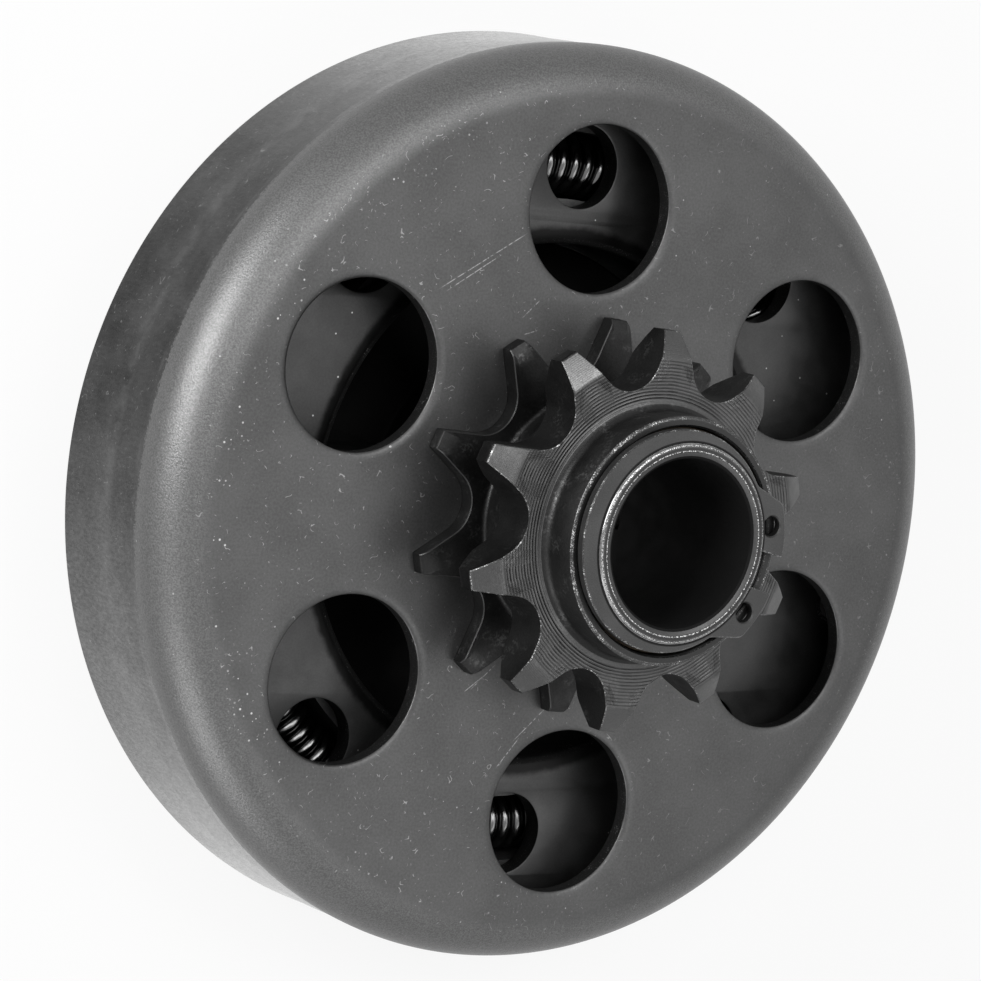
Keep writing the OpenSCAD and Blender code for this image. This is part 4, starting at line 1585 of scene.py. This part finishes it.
@dataclass
class Lamp:
    """A soft square lamp that points at the clutch."""

    name: str
    azimuth: float
    elevation: float
    watts: float
    size: float = 0.35
    distance: float = 0.7
    aim: Spot = (0.0, 0.0, 0.02)

    def build(self) -> bpy.types.Object:
        """Makes the lamp."""
        rise = math.radians(self.elevation)
        reach = self.distance * math.cos(rise)
        away = Vector(polar(reach, math.radians(self.azimuth), self.distance * math.sin(rise)))
        data = bpy.data.lights.new(self.name, "AREA")
        data.shape = "SQUARE"
        data.size = self.size
        data.energy = self.watts
        made = bpy.data.objects.new(self.name, data)
        made.location = Vector(self.aim) + away
        made.rotation_euler = (-away).to_track_quat("-Z", "Y").to_euler()
        bpy.context.scene.collection.objects.link(made)
        return made


@dataclass
class Studio:
    """Pale floor, pale surroundings, soft lamps and the camera."""

    camera_spot: Spot = (-0.22132, 0.04468, 0.32796)
    camera_aim: Spot = (-0.012841, 0.002425, 0.0234)
    camera_roll: float = 106.051
    lens: float = 121.3
    floor_half: float = 3.0
    ambient: float = 0.04
    lamps: tuple[Lamp, ...] = (
        Lamp("over_upper_right", 60, 60, 1.32),
        Lamp("over_upper_left", 120, 60, 1.35),
        Lamp("over_lower_side", 300, 60, 0.74),
        Lamp("over_right", 0, 60, 0.34),
        Lamp("low_upper_left", 158, 12, 5.7),
        Lamp("low_lower_left", 230, 12, 1.9),
    )

    def floor(self) -> None:
        """A wide floor that shows white to the camera and keeps the clutch's shadow."""
        draft = Draft()
        h = self.floor_half / MM
        draft.cap([draft.ring([(-h, -h, 0.0), (h, -h, 0.0), (h, h, 0.0), (-h, h, 0.0)])])
        made = place("floor", draft.mesh("floor"))
        material = bpy.data.materials.new("floor_paper")
        material.use_nodes = True
        board = Board(material.node_tree)
        board.tree.nodes.clear()
        paper = board.node("ShaderNodeBsdfDiffuse", None, {"Color": grey(0.85)})
        glow = board.node("ShaderNodeEmission", None, {"Color": grey(1.0), "Strength": 1.0})
        rays = board.node("ShaderNodeLightPath")
        seen = Signal(board, rays.outputs["Is Camera Ray"]) * 0.88
        seen = seen.greatest(Signal(board, rays.outputs["Is Glossy Ray"]))
        seen = seen.greatest(Signal(board, rays.outputs["Is Transmission Ray"]))
        mixed = board.node("ShaderNodeMixShader", None, {0: seen, 1: paper.outputs[0], 2: glow.outputs[0]})
        side = board.node("ShaderNodeNewGeometry").outputs["Backfacing"]
        clear = board.node("ShaderNodeBsdfTransparent")
        sheet = board.node("ShaderNodeMixShader", None, {0: side, 1: mixed.outputs[0], 2: clear.outputs[0]})
        board.node("ShaderNodeOutputMaterial", None, {"Surface": sheet.outputs[0]})
        made.data.materials.append(material)

    def world(self) -> None:
        """White to the camera and to gloss, a plain level of light to the rest."""
        world = bpy.data.worlds.new("pale_room")
        bpy.context.scene.world = world
        world.use_nodes = True
        board = Board(world.node_tree)
        board.tree.nodes.clear()
        rays = board.node("ShaderNodeLightPath")
        seen = Signal(board, rays.outputs["Is Camera Ray"])
        seen = seen.greatest(Signal(board, rays.outputs["Is Glossy Ray"]))
        seen = seen.greatest(Signal(board, rays.outputs["Is Transmission Ray"]))
        strength = seen * (1.0 - self.ambient) + self.ambient
        glow = board.node("ShaderNodeBackground", None, {"Color": grey(1.0), "Strength": strength})
        board.node("ShaderNodeOutputWorld", None, {"Surface": glow.outputs[0]})

    def camera(self) -> None:
        """The photograph's view."""
        data = bpy.data.cameras.new("camera")
        data.lens = self.lens
        data.sensor_width = 36.0
        data.clip_start = 0.01
        made = bpy.data.objects.new("camera", data)
        made.location = self.camera_spot
        look = (Vector(self.camera_aim) - Vector(self.camera_spot)).to_track_quat("-Z", "Y")
        made.rotation_mode = "QUATERNION"
        made.rotation_quaternion = look @ Matrix.Rotation(math.radians(self.camera_roll), 4, "Z").to_quaternion()
        bpy.context.scene.collection.objects.link(made)
        bpy.context.scene.camera = made

    def build(self) -> None:
        """Makes the studio."""
        self.camera()
        self.floor()
        self.world()
        for lamp in self.lamps:
            lamp.build()
        bpy.context.scene.view_settings.view_transform = "Standard"


def main() -> None:
    """Builds the clutch piece by piece, then the studio."""
    logging.basicConfig(level=logging.INFO, format="%(name)s: %(message)s")
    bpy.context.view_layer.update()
    teeth = ToothRow()
    Drum(teeth).build()
    Sprocket(teeth).build()
    Hub().build()
    Circlip().build()
    for side in Side:
        Shoe(side).build()
    GarterSpring().build()
    Bearing().build()
    Studio().build()


if __name__ == "__main__":
    main()
